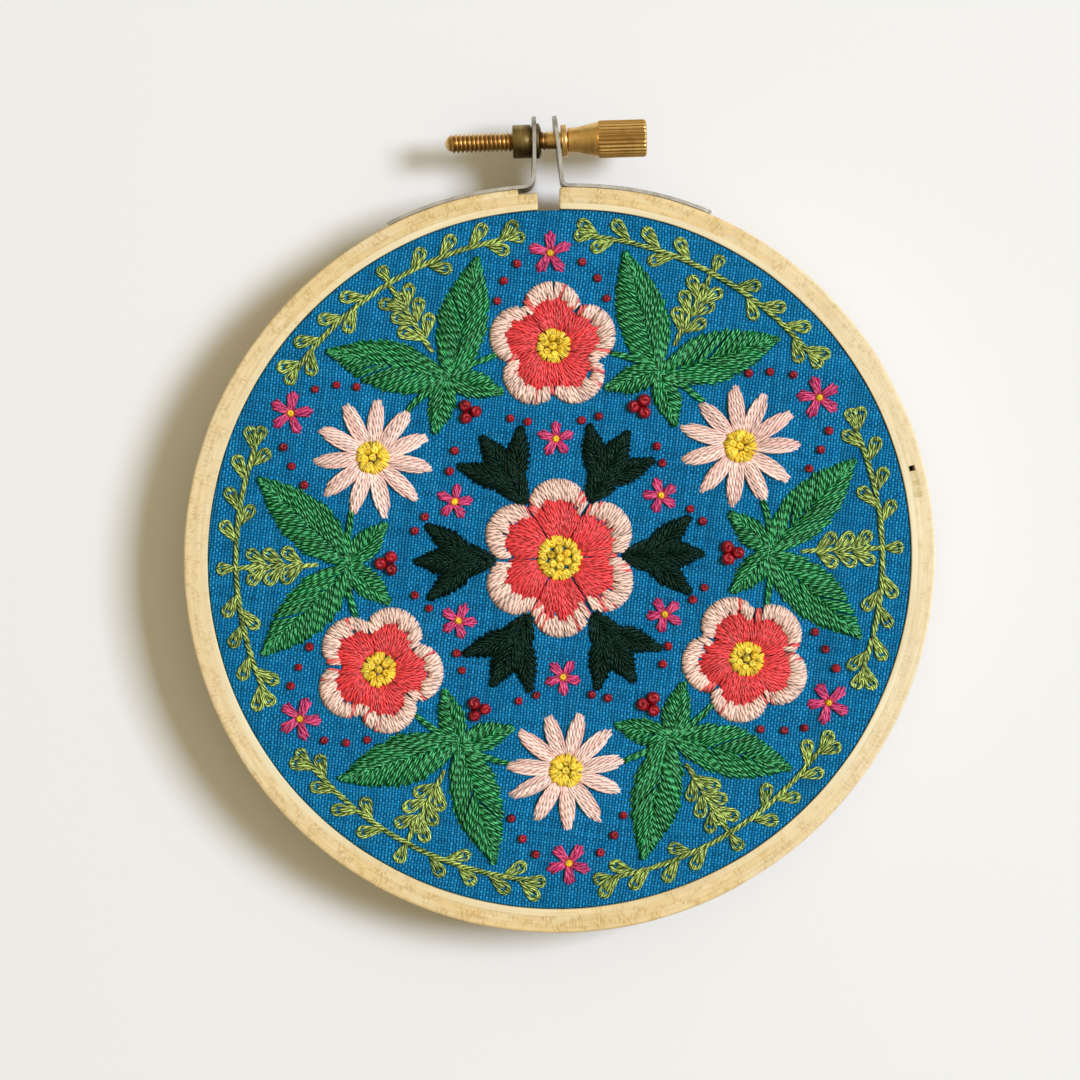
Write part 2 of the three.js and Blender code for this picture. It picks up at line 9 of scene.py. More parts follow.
import bpy
import numpy as np
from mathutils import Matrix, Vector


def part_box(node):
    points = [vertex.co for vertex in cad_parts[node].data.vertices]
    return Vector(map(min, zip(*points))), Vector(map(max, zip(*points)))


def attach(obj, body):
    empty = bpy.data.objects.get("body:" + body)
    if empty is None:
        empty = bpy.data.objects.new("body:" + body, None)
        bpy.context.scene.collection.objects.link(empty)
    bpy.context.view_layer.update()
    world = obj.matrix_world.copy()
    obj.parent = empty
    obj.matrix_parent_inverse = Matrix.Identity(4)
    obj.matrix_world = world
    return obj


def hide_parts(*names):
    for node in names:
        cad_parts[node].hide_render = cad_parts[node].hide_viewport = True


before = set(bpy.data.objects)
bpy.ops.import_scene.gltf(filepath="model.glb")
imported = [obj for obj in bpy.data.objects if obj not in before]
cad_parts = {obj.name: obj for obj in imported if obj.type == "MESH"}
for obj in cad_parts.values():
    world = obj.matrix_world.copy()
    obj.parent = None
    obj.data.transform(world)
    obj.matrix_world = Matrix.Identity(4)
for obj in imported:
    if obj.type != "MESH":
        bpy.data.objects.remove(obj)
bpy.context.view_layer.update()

MM = 0.001


# The view, the wall and the light.
# The hoop is seen from straight in front of its stitched face, turned a little anticlockwise in
# the picture, with a pale wall a few millimetres behind it. A window on the right gives a cool
# light with short shadows, and the rest of the room a warm glow that is brightest high up.
PICTURE_SIDE = 1080
PIXELS_PER_MM = 6.85
HOOP_IN_PICTURE = (559.4, 558.1)
HOOP_TURN = math.radians(1.75)
RIM_HEIGHT = 8 * MM
CAMERA_HEIGHT = 0.5
WALL_BEHIND = 5.5 * MM
WALL_SIDE = 3
WALL_COLOUR = (0.87, 0.87, 0.87, 1)
WINDOW_AZIMUTH = math.radians(10.5)
WINDOW_ELEVATION = math.radians(51.2)
WINDOW_DISTANCE = 3.0
WINDOW_SIDE = 0.95
WINDOW_WATTS = 86
WINDOW_COLOUR = (0.80, 0.87, 1.0)
ROOM_COLOUR = (0.424, 0.36, 0.221, 1)

eye_low, eye_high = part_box("centre_eye")
HOOP_X = (eye_low.x + eye_high.x) / 2
HOOP_Y = (eye_low.y + eye_high.y) / 2


def shader_input(shader, name, value):
    """Sets one constant on a shader's own socket."""
    shader.inputs[name].default_value = value


def new_material(name):
    """A material with its Principled shader, and its tree's nodes and links to build on."""
    material = bpy.data.materials.new(name)
    material.use_nodes = True
    tree = material.node_tree
    return material, tree, tree.nodes["Principled BSDF"]


def look_down():
    """The camera above the picture's middle, rolled so that the hoop turns the other way."""
    right = np.array([math.cos(HOOP_TURN), -math.sin(HOOP_TURN)])
    up = np.array([math.sin(HOOP_TURN), math.cos(HOOP_TURN)])
    across = (PICTURE_SIDE / 2 - HOOP_IN_PICTURE[0]) / PIXELS_PER_MM * MM
    above = (HOOP_IN_PICTURE[1] - PICTURE_SIDE / 2) / PIXELS_PER_MM * MM
    middle = np.array([HOOP_X, HOOP_Y]) + across * right + above * up
    data = bpy.data.cameras.new("camera")
    data.sensor_width = 36
    data.lens = data.sensor_width * CAMERA_HEIGHT / (PICTURE_SIDE / PIXELS_PER_MM * MM)
    camera = bpy.data.objects.new("camera", data)
    camera.location = (middle[0], middle[1], CAMERA_HEIGHT + RIM_HEIGHT)
    camera.rotation_euler = (0, 0, -HOOP_TURN)
    bpy.context.scene.collection.objects.link(camera)
    bpy.context.scene.camera = camera


def window_light():
    """A square soft light that faces the hoop, with its place given by direction and distance."""
    data = bpy.data.lights.new("window", "AREA")
    data.size = WINDOW_SIDE
    data.energy = WINDOW_WATTS
    data.color = WINDOW_COLOUR
    light = bpy.data.objects.new("window", data)
    flat = WINDOW_DISTANCE * math.cos(WINDOW_ELEVATION)
    light.location = (
        HOOP_X + flat * math.cos(WINDOW_AZIMUTH),
        HOOP_Y + flat * math.sin(WINDOW_AZIMUTH),
        WINDOW_DISTANCE * math.sin(WINDOW_ELEVATION),
    )
    light.rotation_euler = (math.pi / 2 - WINDOW_ELEVATION, 0, WINDOW_AZIMUTH + math.pi / 2)
    bpy.context.scene.collection.objects.link(light)


def room_glow():
    """The room's glow, times 0.35 + 0.3 y + 0.98 z for a direction (x, y, z)."""
    room = bpy.data.worlds.new("room")
    room.use_nodes = True
    tree = room.node_tree
    background = tree.nodes["Background"]
    shader_input(background, "Color", ROOM_COLOUR)
    direction = tree.nodes.new("ShaderNodeTexCoord").outputs["Generated"]
    rise = tree.nodes.new("ShaderNodeVectorMath")
    rise.operation = "DOT_PRODUCT"
    tree.links.new(direction, rise.inputs[0])
    rise.inputs[1].default_value = (0, 0.3, 0.98)
    level = tree.nodes.new("ShaderNodeMath")
    level.operation = "ADD"
    tree.links.new(rise.outputs["Value"], level.inputs[0])
    level.inputs[1].default_value = 0.35
    tree.links.new(level.outputs[0], background.inputs["Strength"])
    bpy.context.scene.world = room


def wall():
    """A plain pale square parallel to the hoop."""
    half = WALL_SIDE / 2
    corners = [(-half, -half), (half, -half), (half, half), (-half, half)]
    mesh = bpy.data.meshes.new("wall")
    mesh.from_pydata([(x, y, -WALL_BEHIND) for x, y in corners], [], [(0, 1, 2, 3)])
    plane = bpy.data.objects.new("wall", mesh)
    bpy.context.scene.collection.objects.link(plane)
    finish, _, shader = new_material("pale_wall")
    shader_input(shader, "Base Color", WALL_COLOUR)
    shader_input(shader, "Roughness", 0.85)
    shader_input(shader, "Specular IOR Level", 0.1)
    mesh.materials.append(finish)


look_down()
window_light()
room_glow()
wall()
bpy.context.scene.view_settings.view_transform = "Standard"


# The outer ring.
# A strip of three beech plies is bent to a ring, glued and split at the top. It is sanded and
# left bare. The ring is drawn out a little along one line, and flatter and thinner beside the
# split. The middle ply is butted at the right, where a small hole shows, painted near black as
# shade, and the corner under the left bracket is chipped, its torn step painted dark as shade.
OUTER_RADIUS = 54.8
OUTER_WALL = 3.45
OUTER_HEIGHT = 8.0
OVAL_REACH = 0.2
OVAL_ANGLE = math.radians(33)
FLAT_DEPTH = 0.35
FLAT_SPREAD = math.radians(14)
SPLIT_THINNING = 0.2
SPLIT_WIDTH = 3.4
EDGE_ROUND = 0.38
INSIDE_EDGE_ROUND = 0.16
PLY_JOINTS = (1.0, 1.9)
BUTT_ANGLE = math.radians(12.55)
BUTT_WIDTH = 0.68
BUTT_DEPTH = 1.5
BUTT_PLY = (1.3, 2.1)
STAINED_PLY = (1.2, 2.35)
CHIP_LENGTH = 2.9
CHIP_DEPTH = 0.8


def add_piece(name, vertices, faces, body, numbers=None, corner_uv=None, crease=40):
    """Puts arrays into a new mesh object. vertices are in mm from the hoop's middle, faces is a list
    of corner arrays, numbers are values for each vertex, and corner_uv has one pair for each corner."""
    mesh = bpy.data.meshes.new(name)
    corners = np.concatenate([block.ravel() for block in faces])
    sizes = np.concatenate([np.full(len(block), block.shape[1]) for block in faces])
    starts = np.concatenate([[0], np.cumsum(sizes)[:-1]])
    placed = vertices * MM + np.array([HOOP_X, HOOP_Y, 0])
    mesh.vertices.add(len(placed))
    mesh.vertices.foreach_set("co", placed.astype(np.float32).ravel())
    mesh.loops.add(len(corners))
    mesh.loops.foreach_set("vertex_index", corners.astype(np.int32))
    mesh.polygons.add(len(sizes))
    mesh.polygons.foreach_set("loop_start", starts.astype(np.int32))
    if corner_uv is not None:
        layer = mesh.uv_layers.new(name="thread")
        layer.data.foreach_set("uv", corner_uv.astype(np.float32).ravel())
    for key, values in (numbers or {}).items():
        layer = mesh.attributes.new(key, "FLOAT", "POINT")
        layer.data.foreach_set("value", values.astype(np.float32).ravel())
    mesh.update(calc_edges=True)
    mesh.set_sharp_from_angle(angle=math.radians(crease))
    piece = bpy.data.objects.new(name, mesh)
    bpy.context.scene.collection.objects.link(piece)
    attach(piece, body)
    return piece


def grid_faces(rows, columns, rows_close=False, columns_close=True):
    """Four-sided faces of a grid of points stored row by row. They face outwards where the columns
    turn anticlockwise about the direction in which the rows advance."""
    row = np.arange(rows if rows_close else rows - 1)
    column = np.arange(columns if columns_close else columns - 1)
    row, column = np.meshgrid(row, column, indexing="ij")
    next_row = (row + 1) % rows
    next_column = (column + 1) % columns
    corners = [
        row * columns + column,
        row * columns + next_column,
        next_row * columns + next_column,
        next_row * columns + column,
    ]
    return np.stack(corners, axis=-1).reshape(-1, 4)


def end_fans(rows, columns):
    """Triangles from the first row to the point after the grid, and from the last row to the next."""
    here = np.arange(columns)
    after = (here + 1) % columns
    first = np.full(columns, rows * columns)
    last = (rows - 1) * columns
    start = np.stack([first, after, here], axis=-1)
    end = np.stack([first + 1, last + here, last + after], axis=-1)
    return np.concatenate([start, end])


def rounded_section(inside, outside, low, high, radius, spacing, inside_radius=None):
    """Points round a rectangle with round corners, anticlockwise as (across, height): each side is
    spaced evenly, and each corner is a quarter circle."""
    tight = radius if inside_radius is None else inside_radius
    turns = np.linspace(0, math.pi / 2, 5)
    corners = [
        (outside - radius, low + radius, radius, -math.pi / 2),
        (outside - radius, high - radius, radius, 0),
        (inside + tight, high - tight, tight, math.pi / 2),
        (inside + tight, low + tight, tight, math.pi),
    ]
    arcs = [
        np.stack([x + r * np.cos(turns + a), z + r * np.sin(turns + a)], axis=-1)
        for x, z, r, a in corners
    ]
    section = []
    for arc, following in zip(arcs, arcs[1:] + arcs[:1]):
        section.append(arc)
        gap = following[0] - arc[-1]
        steps = max(int(np.hypot(*gap) / spacing), 1)
        between = np.arange(1, steps) / steps
        section.append(arc[-1] + between[:, None] * gap)
    return np.concatenate(section)


def slow_noise(places, scale, seed, count=12):
    """A smooth random value from -1 to 1 for each place: a mean of sines in random directions."""
    rng = np.random.default_rng(seed)
    waves = rng.normal(size=(count, places.shape[-1])) / scale
    phases = rng.uniform(0, 2 * math.pi, count)
    return np.sin(places @ waves.T * 2 + phases).mean(axis=-1) * 2


def off_round(angle, through=0.0):
    """How far the hoop stands off its true circle, in mm: an oval 0.2 cos 2(a - 33 deg) less a bell
    curve about the split. through is 0 inside the outer ring's wall and 1 at its outside."""
    oval = OVAL_REACH * np.cos(2 * (angle - OVAL_ANGLE))
    away = np.arctan2(-np.cos(angle), np.sin(angle)) / FLAT_SPREAD
    return oval - (FLAT_DEPTH + SPLIT_THINNING * through) * np.exp(-away * away)


def beech_ring_points(angles, section):
    """Every section point carried round the hoop: (across cos a, across sin a, height), the flat
    faces uneven by a few hundredths of a millimetre from sanding."""
    angle = angles[:, None]
    across = np.broadcast_to(section[:, 0], (len(angles), len(section)))
    height = np.broadcast_to(section[:, 1], across.shape)
    middle = section.mean(axis=0)
    places = np.stack([np.cos(angle) * across, np.sin(angle) * across, height], axis=-1)
    ease = 0.05 * slow_noise(places, 14, 3) + 0.02 * slow_noise(places, 3, 4)
    outwards = np.sign(across - middle[0]) * (np.abs(across - middle[0]) > OUTER_WALL / 2 - 0.6)
    across = across + ease * outwards
    height = np.where(height > middle[1], height + ease, height)
    return across, height


def outer_ring():
    """The split ring: rows of a rounded section from one side of the split round to the other, with
    closer rows at the split, the chip and the butt joint."""
    split = SPLIT_WIDTH / 2 / OUTER_RADIUS
    start = math.pi / 2 + split
    turn = 2 * math.pi - 2 * split
    chip_turn = CHIP_LENGTH / OUTER_RADIUS
    butt = BUTT_ANGLE + 2 * math.pi - start
    butt_half = BUTT_WIDTH / 2 / (OUTER_RADIUS - OUTER_WALL / 2)
    rows = np.concatenate(
        [
            np.linspace(0, chip_turn, 16),
            np.linspace(chip_turn, chip_turn + 0.004, 3),
            np.linspace(0, turn, 420),
            butt + np.linspace(-1.6, 1.6, 17) * butt_half,
            turn - np.linspace(0, 0.02, 6),
        ]
    )
    rows = np.unique(np.round(rows, 5))
    section = rounded_section(
        OUTER_RADIUS - OUTER_WALL, OUTER_RADIUS, 0, OUTER_HEIGHT, EDGE_ROUND, 0.3, INSIDE_EDGE_ROUND
    )
    across, height = beech_ring_points(start + rows, section)
    along = np.broadcast_to(rows[:, None], across.shape)
    # The ends are cut along lines that meet at the hoop's middle, with their edges just eased.
    end_gap = np.minimum(along, turn - along) * OUTER_RADIUS
    ease = np.clip(1 - end_gap / 0.25, 0, 1) ** 2 * 0.15
    middle = section.mean(axis=0)
    across = across - np.sign(across - middle[0]) * ease
    height = height - np.sign(height - middle[1]) * ease
    # The chip: a torn step in the outside corner, as far as the grain let go.
    torn = CHIP_DEPTH + 0.06 * np.sin(along * 170 + 0.6 * height)
    chipped = (along < chip_turn) & (across > OUTER_RADIUS - torn)
    across = np.where(chipped, OUTER_RADIUS - torn, across)
    # The butt joint: the top of the middle ply is missing for the width of the gap.
    in_gap = np.abs(along - butt) < butt_half
    depth_in = across - (OUTER_RADIUS - OUTER_WALL)
    in_ply = (depth_in > BUTT_PLY[0]) & (depth_in < BUTT_PLY[1])
    hole = in_gap & in_ply & (height > OUTER_HEIGHT - 0.4)
    height = np.where(hole, height - BUTT_DEPTH, height)
    angle = start + along
    across = across + off_round(angle, depth_in / OUTER_WALL)
    points = np.stack([across * np.cos(angle), across * np.sin(angle), height], axis=-1)
    ends = np.stack([points[0].mean(axis=0), points[-1].mean(axis=0)])
    # Painted shade: the number is 1 in the butt joint's hole and 0.75 on the chip.
    numbers = {
        "along": along * OUTER_RADIUS,
        "across": depth_in,
        "height": height,
        "hollow_shade": np.maximum(hole, 0.75 * chipped),
    }
    at_ends = {
        "along": [0, turn * OUTER_RADIUS],
        "across": [OUTER_WALL / 2] * 2,
        "height": [OUTER_HEIGHT / 2] * 2,
        "hollow_shade": [0, 0],
    }
    numbers = {key: np.append(values.ravel(), at_ends[key]) for key, values in numbers.items()}
    count = points.shape[:2]
    vertices = np.concatenate([points.reshape(-1, 3), ends])
    faces = [grid_faces(*count), end_fans(*count)]
    return add_piece("beech_outer_ring", vertices, faces, "hoop", numbers)


def feed(tree, socket, value):
    """Gives a socket the result of another one, a number, or the three numbers of a colour."""
    if isinstance(value, bpy.types.NodeSocket):
        tree.links.new(value, socket)
    elif isinstance(value, tuple):
        socket.default_value = (*value, 1)
    else:
        socket.default_value = value


def maths(tree, operation, *values):
    """The result of a Math node on sockets or numbers."""
    node = tree.nodes.new("ShaderNodeMath")
    node.operation = operation
    for socket, value in zip(node.inputs, values):
        feed(tree, socket, value)
    return node.outputs[0]


def times(tree, product, *factors):
    """The product of sockets and numbers."""
    for factor in factors:
        product = maths(tree, "MULTIPLY", product, factor)
    return product


def number_of(tree, name):
    """A value stored on the mesh."""
    node = tree.nodes.new("ShaderNodeAttribute")
    node.attribute_name = name
    return node.outputs["Fac"]


def vector_of(tree, *values):
    """A vector from three sockets or numbers."""
    node = tree.nodes.new("ShaderNodeCombineXYZ")
    for socket, value in zip(node.inputs, values):
        feed(tree, socket, value)
    return node.outputs[0]


def noise_at(tree, place, scale, detail, roughness=0.5):
    """Smooth noise from 0 to 1 at a place, its lumps about 1 / scale across."""
    node = tree.nodes.new("ShaderNodeTexNoise")
    tree.links.new(place, node.inputs["Vector"])
    shader_input(node, "Scale", scale)
    shader_input(node, "Detail", detail)
    shader_input(node, "Roughness", roughness)
    return node.outputs["Fac"]


def between(tree, value, low, high):
    """0 below low, 1 above high and a smooth rise between them."""
    node = tree.nodes.new("ShaderNodeMapRange")
    node.interpolation_type = "SMOOTHSTEP"
    tree.links.new(value, node.inputs["Value"])
    shader_input(node, "From Min", low)
    shader_input(node, "From Max", high)
    return node.outputs["Result"]


def mixed(tree, amount, first, second):
    """A colour between two, each a socket or three numbers. Of a Mix node's sockets the seventh and
    eighth are its two colours, and its third result is their mixture."""
    node = tree.nodes.new("ShaderNodeMix")
    node.data_type = "RGBA"
    feed(tree, node.inputs["Factor"], amount)
    feed(tree, node.inputs[6], first)
    feed(tree, node.inputs[7], second)
    return node.outputs[2]


def brightened(tree, colour, factor):
    """A colour times a number."""
    node = tree.nodes.new("ShaderNodeVectorMath")
    node.operation = "SCALE"
    tree.links.new(colour, node.inputs[0])
    tree.links.new(factor, node.inputs["Scale"])
    return node.outputs[0]


def bumped(tree, shader, height, distance, strength):
    """Relief from a height of 0 to 1, distance metres deep."""
    node = tree.nodes.new("ShaderNodeBump")
    shader_input(node, "Distance", distance)
    shader_input(node, "Strength", strength)
    tree.links.new(height, node.inputs["Height"])
    tree.links.new(node.outputs["Normal"], shader.inputs["Normal"])


def beech_finish(name, light, tan, fleck, stained=False):
    """Sanded beech: pale inner ply, tanner outer plies, fine lines of grain along the strip, and
    patches of short brown strokes across it where the rays show. Painted light makes both sides
    paler, the right one more, and glue has stained the outer ring's middle ply below its butt joint."""
    material, tree, shader = new_material(name)
    along = number_of(tree, "along")
    across = number_of(tree, "across")
    height = number_of(tree, "height")

    def grain(along_scale, across_scale, height_scale, detail, roughness=0.5):
        """Noise stretched along, across and through the strip."""
        pairs = ((along, along_scale), (across, across_scale), (height, height_scale))
        place = vector_of(tree, *(times(tree, value, scale) for value, scale in pairs))
        return noise_at(tree, place, 1.0, detail, roughness)

    def seam(value, place, width):
        """1 at a place and 0 a width away from it on both sides."""
        rise = between(tree, value, place - width, place)
        fall = maths(tree, "SUBTRACT", 1, between(tree, value, place, place + width))
        return times(tree, rise, fall)

    long_grain = grain(0.06, 2.2, 1.0, 4, 0.6)
    mottle = grain(0.14, 0.5, 0.5, 3)
    patches = between(tree, grain(0.5, 0.7, 0.6, 3), 0.4, 0.62)
    strokes = between(tree, grain(3.0, 1.2, 0.5, 2), 0.36, 0.66)
    pale_length = between(tree, grain(0.02, 0.0, 0.0, 1), 0.4, 0.56)
    outer_plies = between(tree, across, PLY_JOINTS[0] - 0.08, PLY_JOINTS[0] + 0.06)
    tanned = maths(tree, "MAXIMUM", outer_plies, times(tree, pale_length, 0.6))
    colour = mixed(tree, tanned, light, tan)
    blotches = times(tree, between(tree, mottle, 0.42, 0.7), outer_plies, 0.6)
    colour = mixed(tree, blotches, colour, light)
    flecks = times(tree, patches, strokes, tanned)
    colour = mixed(tree, times(tree, flecks, 0.75), colour, fleck)
    for joint, amount in zip(PLY_JOINTS, (0.28, 0.14)):
        colour = mixed(tree, times(tree, seam(across, joint, 0.12), amount), colour, fleck)
    east = tree.nodes.new("ShaderNodeSeparateXYZ")
    tree.links.new(tree.nodes.new("ShaderNodeTexCoord").outputs["Object"], east.inputs[0])
    # Painted light on each side: where along X it starts and is full, in metres, and how strong it is.
    for start, end, amount in ((0.018, 0.056, 0.45), (-0.03, -0.052, 0.22)):
        painted_light = times(tree, between(tree, east.outputs[0], start, end), amount)
        colour = mixed(tree, painted_light, colour, (0.92, 0.82, 0.60))
    if stained:
        butt = (BUTT_ANGLE + 1.5 * math.pi) * OUTER_RADIUS - SPLIT_WIDTH / 2
        ply_start = between(tree, across, STAINED_PLY[0] - 0.1, STAINED_PLY[0] + 0.1)
        ply_end = between(tree, across, STAINED_PLY[1] + 0.1, STAINED_PLY[1] - 0.1)
        # Each mark: where it starts and ends below the joint, in mm, and how strong it is.
        for start, end, depth in ((0.3, 1.8, 0.5), (1.8, 2.7, 0.85), (2.7, 3.6, 0.4), (3.6, 4.5, 0.8)):
            rise = between(tree, along, butt - end - 0.05, butt - end + 0.1)
            fall = between(tree, along, butt - start + 0.05, butt - start - 0.1)
            mark = times(tree, rise, fall, ply_start, ply_end, depth)
            colour = mixed(tree, mark, colour, (0.60, 0.46, 0.20))
    # Painted shade: near black in the butt joint's hole, and dark on the chip.
    colour = mixed(tree, number_of(tree, "hollow_shade"), colour, (0.02, 0.012, 0.006))
    shade = maths(tree, "MULTIPLY_ADD", long_grain, 0.55, 0.745)
    tree.links.new(brightened(tree, colour, shade), shader.inputs["Base Color"])
    shader_input(shader, "Roughness", 0.62)
    shader_input(shader, "Specular IOR Level", 0.35)
    bumped(tree, shader, maths(tree, "MULTIPLY_ADD", flecks, -0.5, long_grain), 0.00008, 0.6)
    return material


BEECH_COLOURS = ((0.87, 0.74, 0.47), (0.81, 0.605, 0.295), (0.58, 0.36, 0.11))
outer = outer_ring()
outer.data.materials.append(beech_finish("sanded_beech", *BEECH_COLOURS, stained=True))
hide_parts("outer_ring")


# The inner ring.
# A closed ring of the same beech lies under the cloth and holds it out. Only its back and its
# inside are ever seen, from behind the cloth.
INNER_OUTSIDE = 50.55
INNER_WALL = 4.0
INNER_HEIGHT = 7.35


def inner_ring():
    """The closed ring: the same rounded section carried through a whole turn."""
    angles = np.linspace(0, 2 * math.pi, 360, endpoint=False)
    section = rounded_section(INNER_OUTSIDE - INNER_WALL, INNER_OUTSIDE, 0, INNER_HEIGHT, EDGE_ROUND, 0.6)
    across, height = beech_ring_points(angles, section)
    along = np.broadcast_to(angles[:, None], across.shape)
    depth_in = across - (INNER_OUTSIDE - INNER_WALL)
    across = across + off_round(along)
    points = np.stack([across * np.cos(along), across * np.sin(along), height], axis=-1)
    # The number that runs along the grain rises and falls once, so it has no step anywhere.
    numbers = {
        "along": 60 * np.sin(along) + 3 * depth_in,
        "across": depth_in * 0.8,
        "height": height,
        "hollow_shade": np.zeros(across.shape),
    }
    faces = [grid_faces(*points.shape[:2], rows_close=True)]
    return add_piece("beech_inner_ring", points.reshape(-1, 3), faces, "hoop", numbers)


inner = inner_ring()
inner.data.materials.append(beech_finish("sanded_beech_inside", *BEECH_COLOURS))
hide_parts("inner_ring")


# The cloth.
# Plain-weave quilting cotton in a strong blue, pulled drum tight over the inner ring and down
# between the two rings, where it is trimmed. The warp yarns lie 0.44 mm apart, the weft a little
# closer.
CLOTH_TOP = 7.75
CLOTH_THICK = 0.35
CLOTH_EDGE = 51.28
CLOTH_ROUND = 0.37
CLOTH_HEM = 0.5
WARP_PITCH = 0.44
WEFT_PITCH = 0.396
WEAVE_TURN = math.radians(-8.8)


def cloth_face_height(across, angle):
    """The tight face rises and falls by less than a tenth of a millimetre, in slow waves that die
    out at the rim."""
    places = np.stack([across * np.cos(angle), across * np.sin(angle)], axis=-1)
    return 0.05 * slow_noise(places, 22, 8) * np.clip(1 - across / CLOTH_EDGE, 0, 1) ** 0.5


def stretched_cloth():
    """One profile turned about Z: across the top, round the rim, down to the hem and back inside."""
    columns = np.linspace(0, 2 * math.pi, 288, endpoint=False)
    bend = np.linspace(math.pi / 2, 0, 9)
    rim = CLOTH_EDGE - CLOTH_ROUND
    shoulder = CLOTH_TOP - CLOTH_ROUND
    flat = np.linspace(1.5, rim, 44)[:-1]
    drop = np.linspace(shoulder, CLOTH_HEM, 10)[1:]

    def one_side(inset):
        """The profile from the middle to the hem, an inset inside the cloth's outer face."""
        tight = CLOTH_ROUND - inset
        top = np.stack([flat, np.full_like(flat, CLOTH_TOP - inset)], axis=-1)
        turned = np.stack([rim + tight * np.cos(bend), shoulder + tight * np.sin(bend)], axis=-1)
        hem = np.stack([np.full_like(drop, CLOTH_EDGE - inset), drop], axis=-1)
        return np.concatenate([top, turned, hem])

    profile = np.concatenate([one_side(CLOTH_THICK), one_side(0)[::-1]])
    across = np.broadcast_to(profile[:, 0], (len(columns), len(profile))).T
    angle = np.broadcast_to(columns, across.shape)
    height = profile[:, 1][:, None] + cloth_face_height(across, angle)
    across = across + off_round(angle) * across / CLOTH_EDGE
    points = np.stack([across * np.cos(angle), across * np.sin(angle), height], axis=-1)
    poles = np.array([[0, 0, points[0, :, 2].mean()], [0, 0, points[-1, :, 2].mean()]])
    count = points.shape[:2]
    vertices = np.concatenate([points.reshape(-1, 3), poles])
    return add_piece("blue_cotton", vertices, [grid_faces(*count), end_fans(*count)], "hoop")


def cotton_finish():
    """Plain weave: on each crossing of a grid the warp or the weft yarn lies on top in turn. A yarn's
    height is a half circle across it, lifted where it passes over. Gaps between yarns get painted
    shade, the furrows between the warp yarns most, and a painted highlight lies on the warp floats."""
    material, tree, shader = new_material("blue_plain_weave")
    place = tree.nodes.new("ShaderNodeTexCoord").outputs["Object"]
    turn = tree.nodes.new("ShaderNodeMapping")
    turn.vector_type = "TEXTURE"
    turn.inputs["Rotation"].default_value = (0, 0, WEAVE_TURN)
    turn.inputs["Scale"].default_value = (WARP_PITCH * MM, WEFT_PITCH * MM, MM)
    tree.links.new(place, turn.inputs["Vector"])
    drift = tree.nodes.new("ShaderNodeTexNoise")
    tree.links.new(turn.outputs[0], drift.inputs["Vector"])
    shader_input(drift, "Scale", 0.06)
    wander = tree.nodes.new("ShaderNodeVectorMath")
    wander.operation = "MULTIPLY_ADD"
    tree.links.new(drift.outputs["Color"], wander.inputs[0])
    wander.inputs[1].default_value = (1.6, 1.6, 0)
    tree.links.new(turn.outputs[0], wander.inputs[2])
    parts = tree.nodes.new("ShaderNodeSeparateXYZ")
    tree.links.new(wander.outputs[0], parts.inputs[0])
    x, y = parts.outputs[0], parts.outputs[1]

    def half_round(value):
        """A half circle across one yarn."""
        offset = maths(tree, "MULTIPLY_ADD", maths(tree, "FRACT", value), 2, -1)
        squared = times(tree, offset, offset)
        return maths(tree, "SQRT", maths(tree, "MAXIMUM", maths(tree, "SUBTRACT", 1, squared), 0))

    def over_under(value, other):
        """1 in the middle of a float and -1 where the yarn is underneath."""
        step = maths(tree, "ADD", maths(tree, "SUBTRACT", value, 0.5), maths(tree, "FLOOR", other))
        return maths(tree, "COSINE", times(tree, step, math.pi))

    def yarn_tone(value, seed):
        """A brightness of its own for each yarn, changing slowly along it."""
        row = vector_of(tree, maths(tree, "FLOOR", value), seed, 0)
        node = tree.nodes.new("ShaderNodeTexWhiteNoise")
        node.noise_dimensions = "3D"
        tree.links.new(row, node.inputs["Vector"])
        return node.outputs["Value"]

    warp = times(tree, half_round(x), maths(tree, "MULTIPLY_ADD", over_under(y, x), 0.42, 0.58))
    weft = times(tree, half_round(y), maths(tree, "MULTIPLY_ADD", over_under(x, y), -0.42, 0.58))
    relief = maths(tree, "MAXIMUM", warp, weft)
    is_warp = maths(tree, "GREATER_THAN", warp, weft)
    warp_tone = times(tree, is_warp, yarn_tone(x, 1))
    weft_tone = times(tree, maths(tree, "SUBTRACT", 1, is_warp), yarn_tone(y, 2))
    tone = times(tree, maths(tree, "ADD", warp_tone, weft_tone), 0.5)
    slub = times(tree, noise_at(tree, turn.outputs[0], 0.35, 2), 0.6)
    level = maths(tree, "ADD", tone, slub)
    column = between(tree, half_round(x), 0.15, 0.9)
    furrow = maths(tree, "MULTIPLY_ADD", column, 0.44, 0.56)
    raised = times(tree, between(tree, relief, 0.1, 0.85), furrow)
    # The light catches the top of each warp float, an upright dash, some more than others.
    float_row = maths(tree, "FLOOR", maths(tree, "ADD", times(tree, y, 0.5), yarn_tone(x, 4)))
    chance = tree.nodes.new("ShaderNodeTexWhiteNoise")
    tree.links.new(vector_of(tree, maths(tree, "FLOOR", x), float_row, 3), chance.inputs["Vector"])
    passing = maths(tree, "MULTIPLY_ADD", between(tree, over_under(y, x), -0.3, 0.7), 0.6, 0.4)
    dash = times(tree, between(tree, half_round(x), 0.7, 0.98), passing)
    glint = times(tree, dash, maths(tree, "MULTIPLY_ADD", chance.outputs["Value"], 0.85, 0.15))
    shade = maths(tree, "MULTIPLY_ADD", raised, 1.3, -0.03)
    shade = times(tree, shade, maths(tree, "ADD", level, 0.46))
    colour = mixed(tree, is_warp, (0.001, 0.116, 0.29), (0.003, 0.165, 0.38))
    colour = mixed(tree, times(tree, glint, 0.75), colour, (0.035, 0.31, 0.55))
    tree.links.new(brightened(tree, colour, shade), shader.inputs["Base Color"])
    shader_input(shader, "Roughness", 0.75)
    shader_input(shader, "Specular IOR Level", 0.06)
    bumped(tree, shader, relief, 0.00016, 0.9)
    return material


cloth = stretched_cloth()
cloth.data.materials.append(cotton_finish())
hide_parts("cloth")


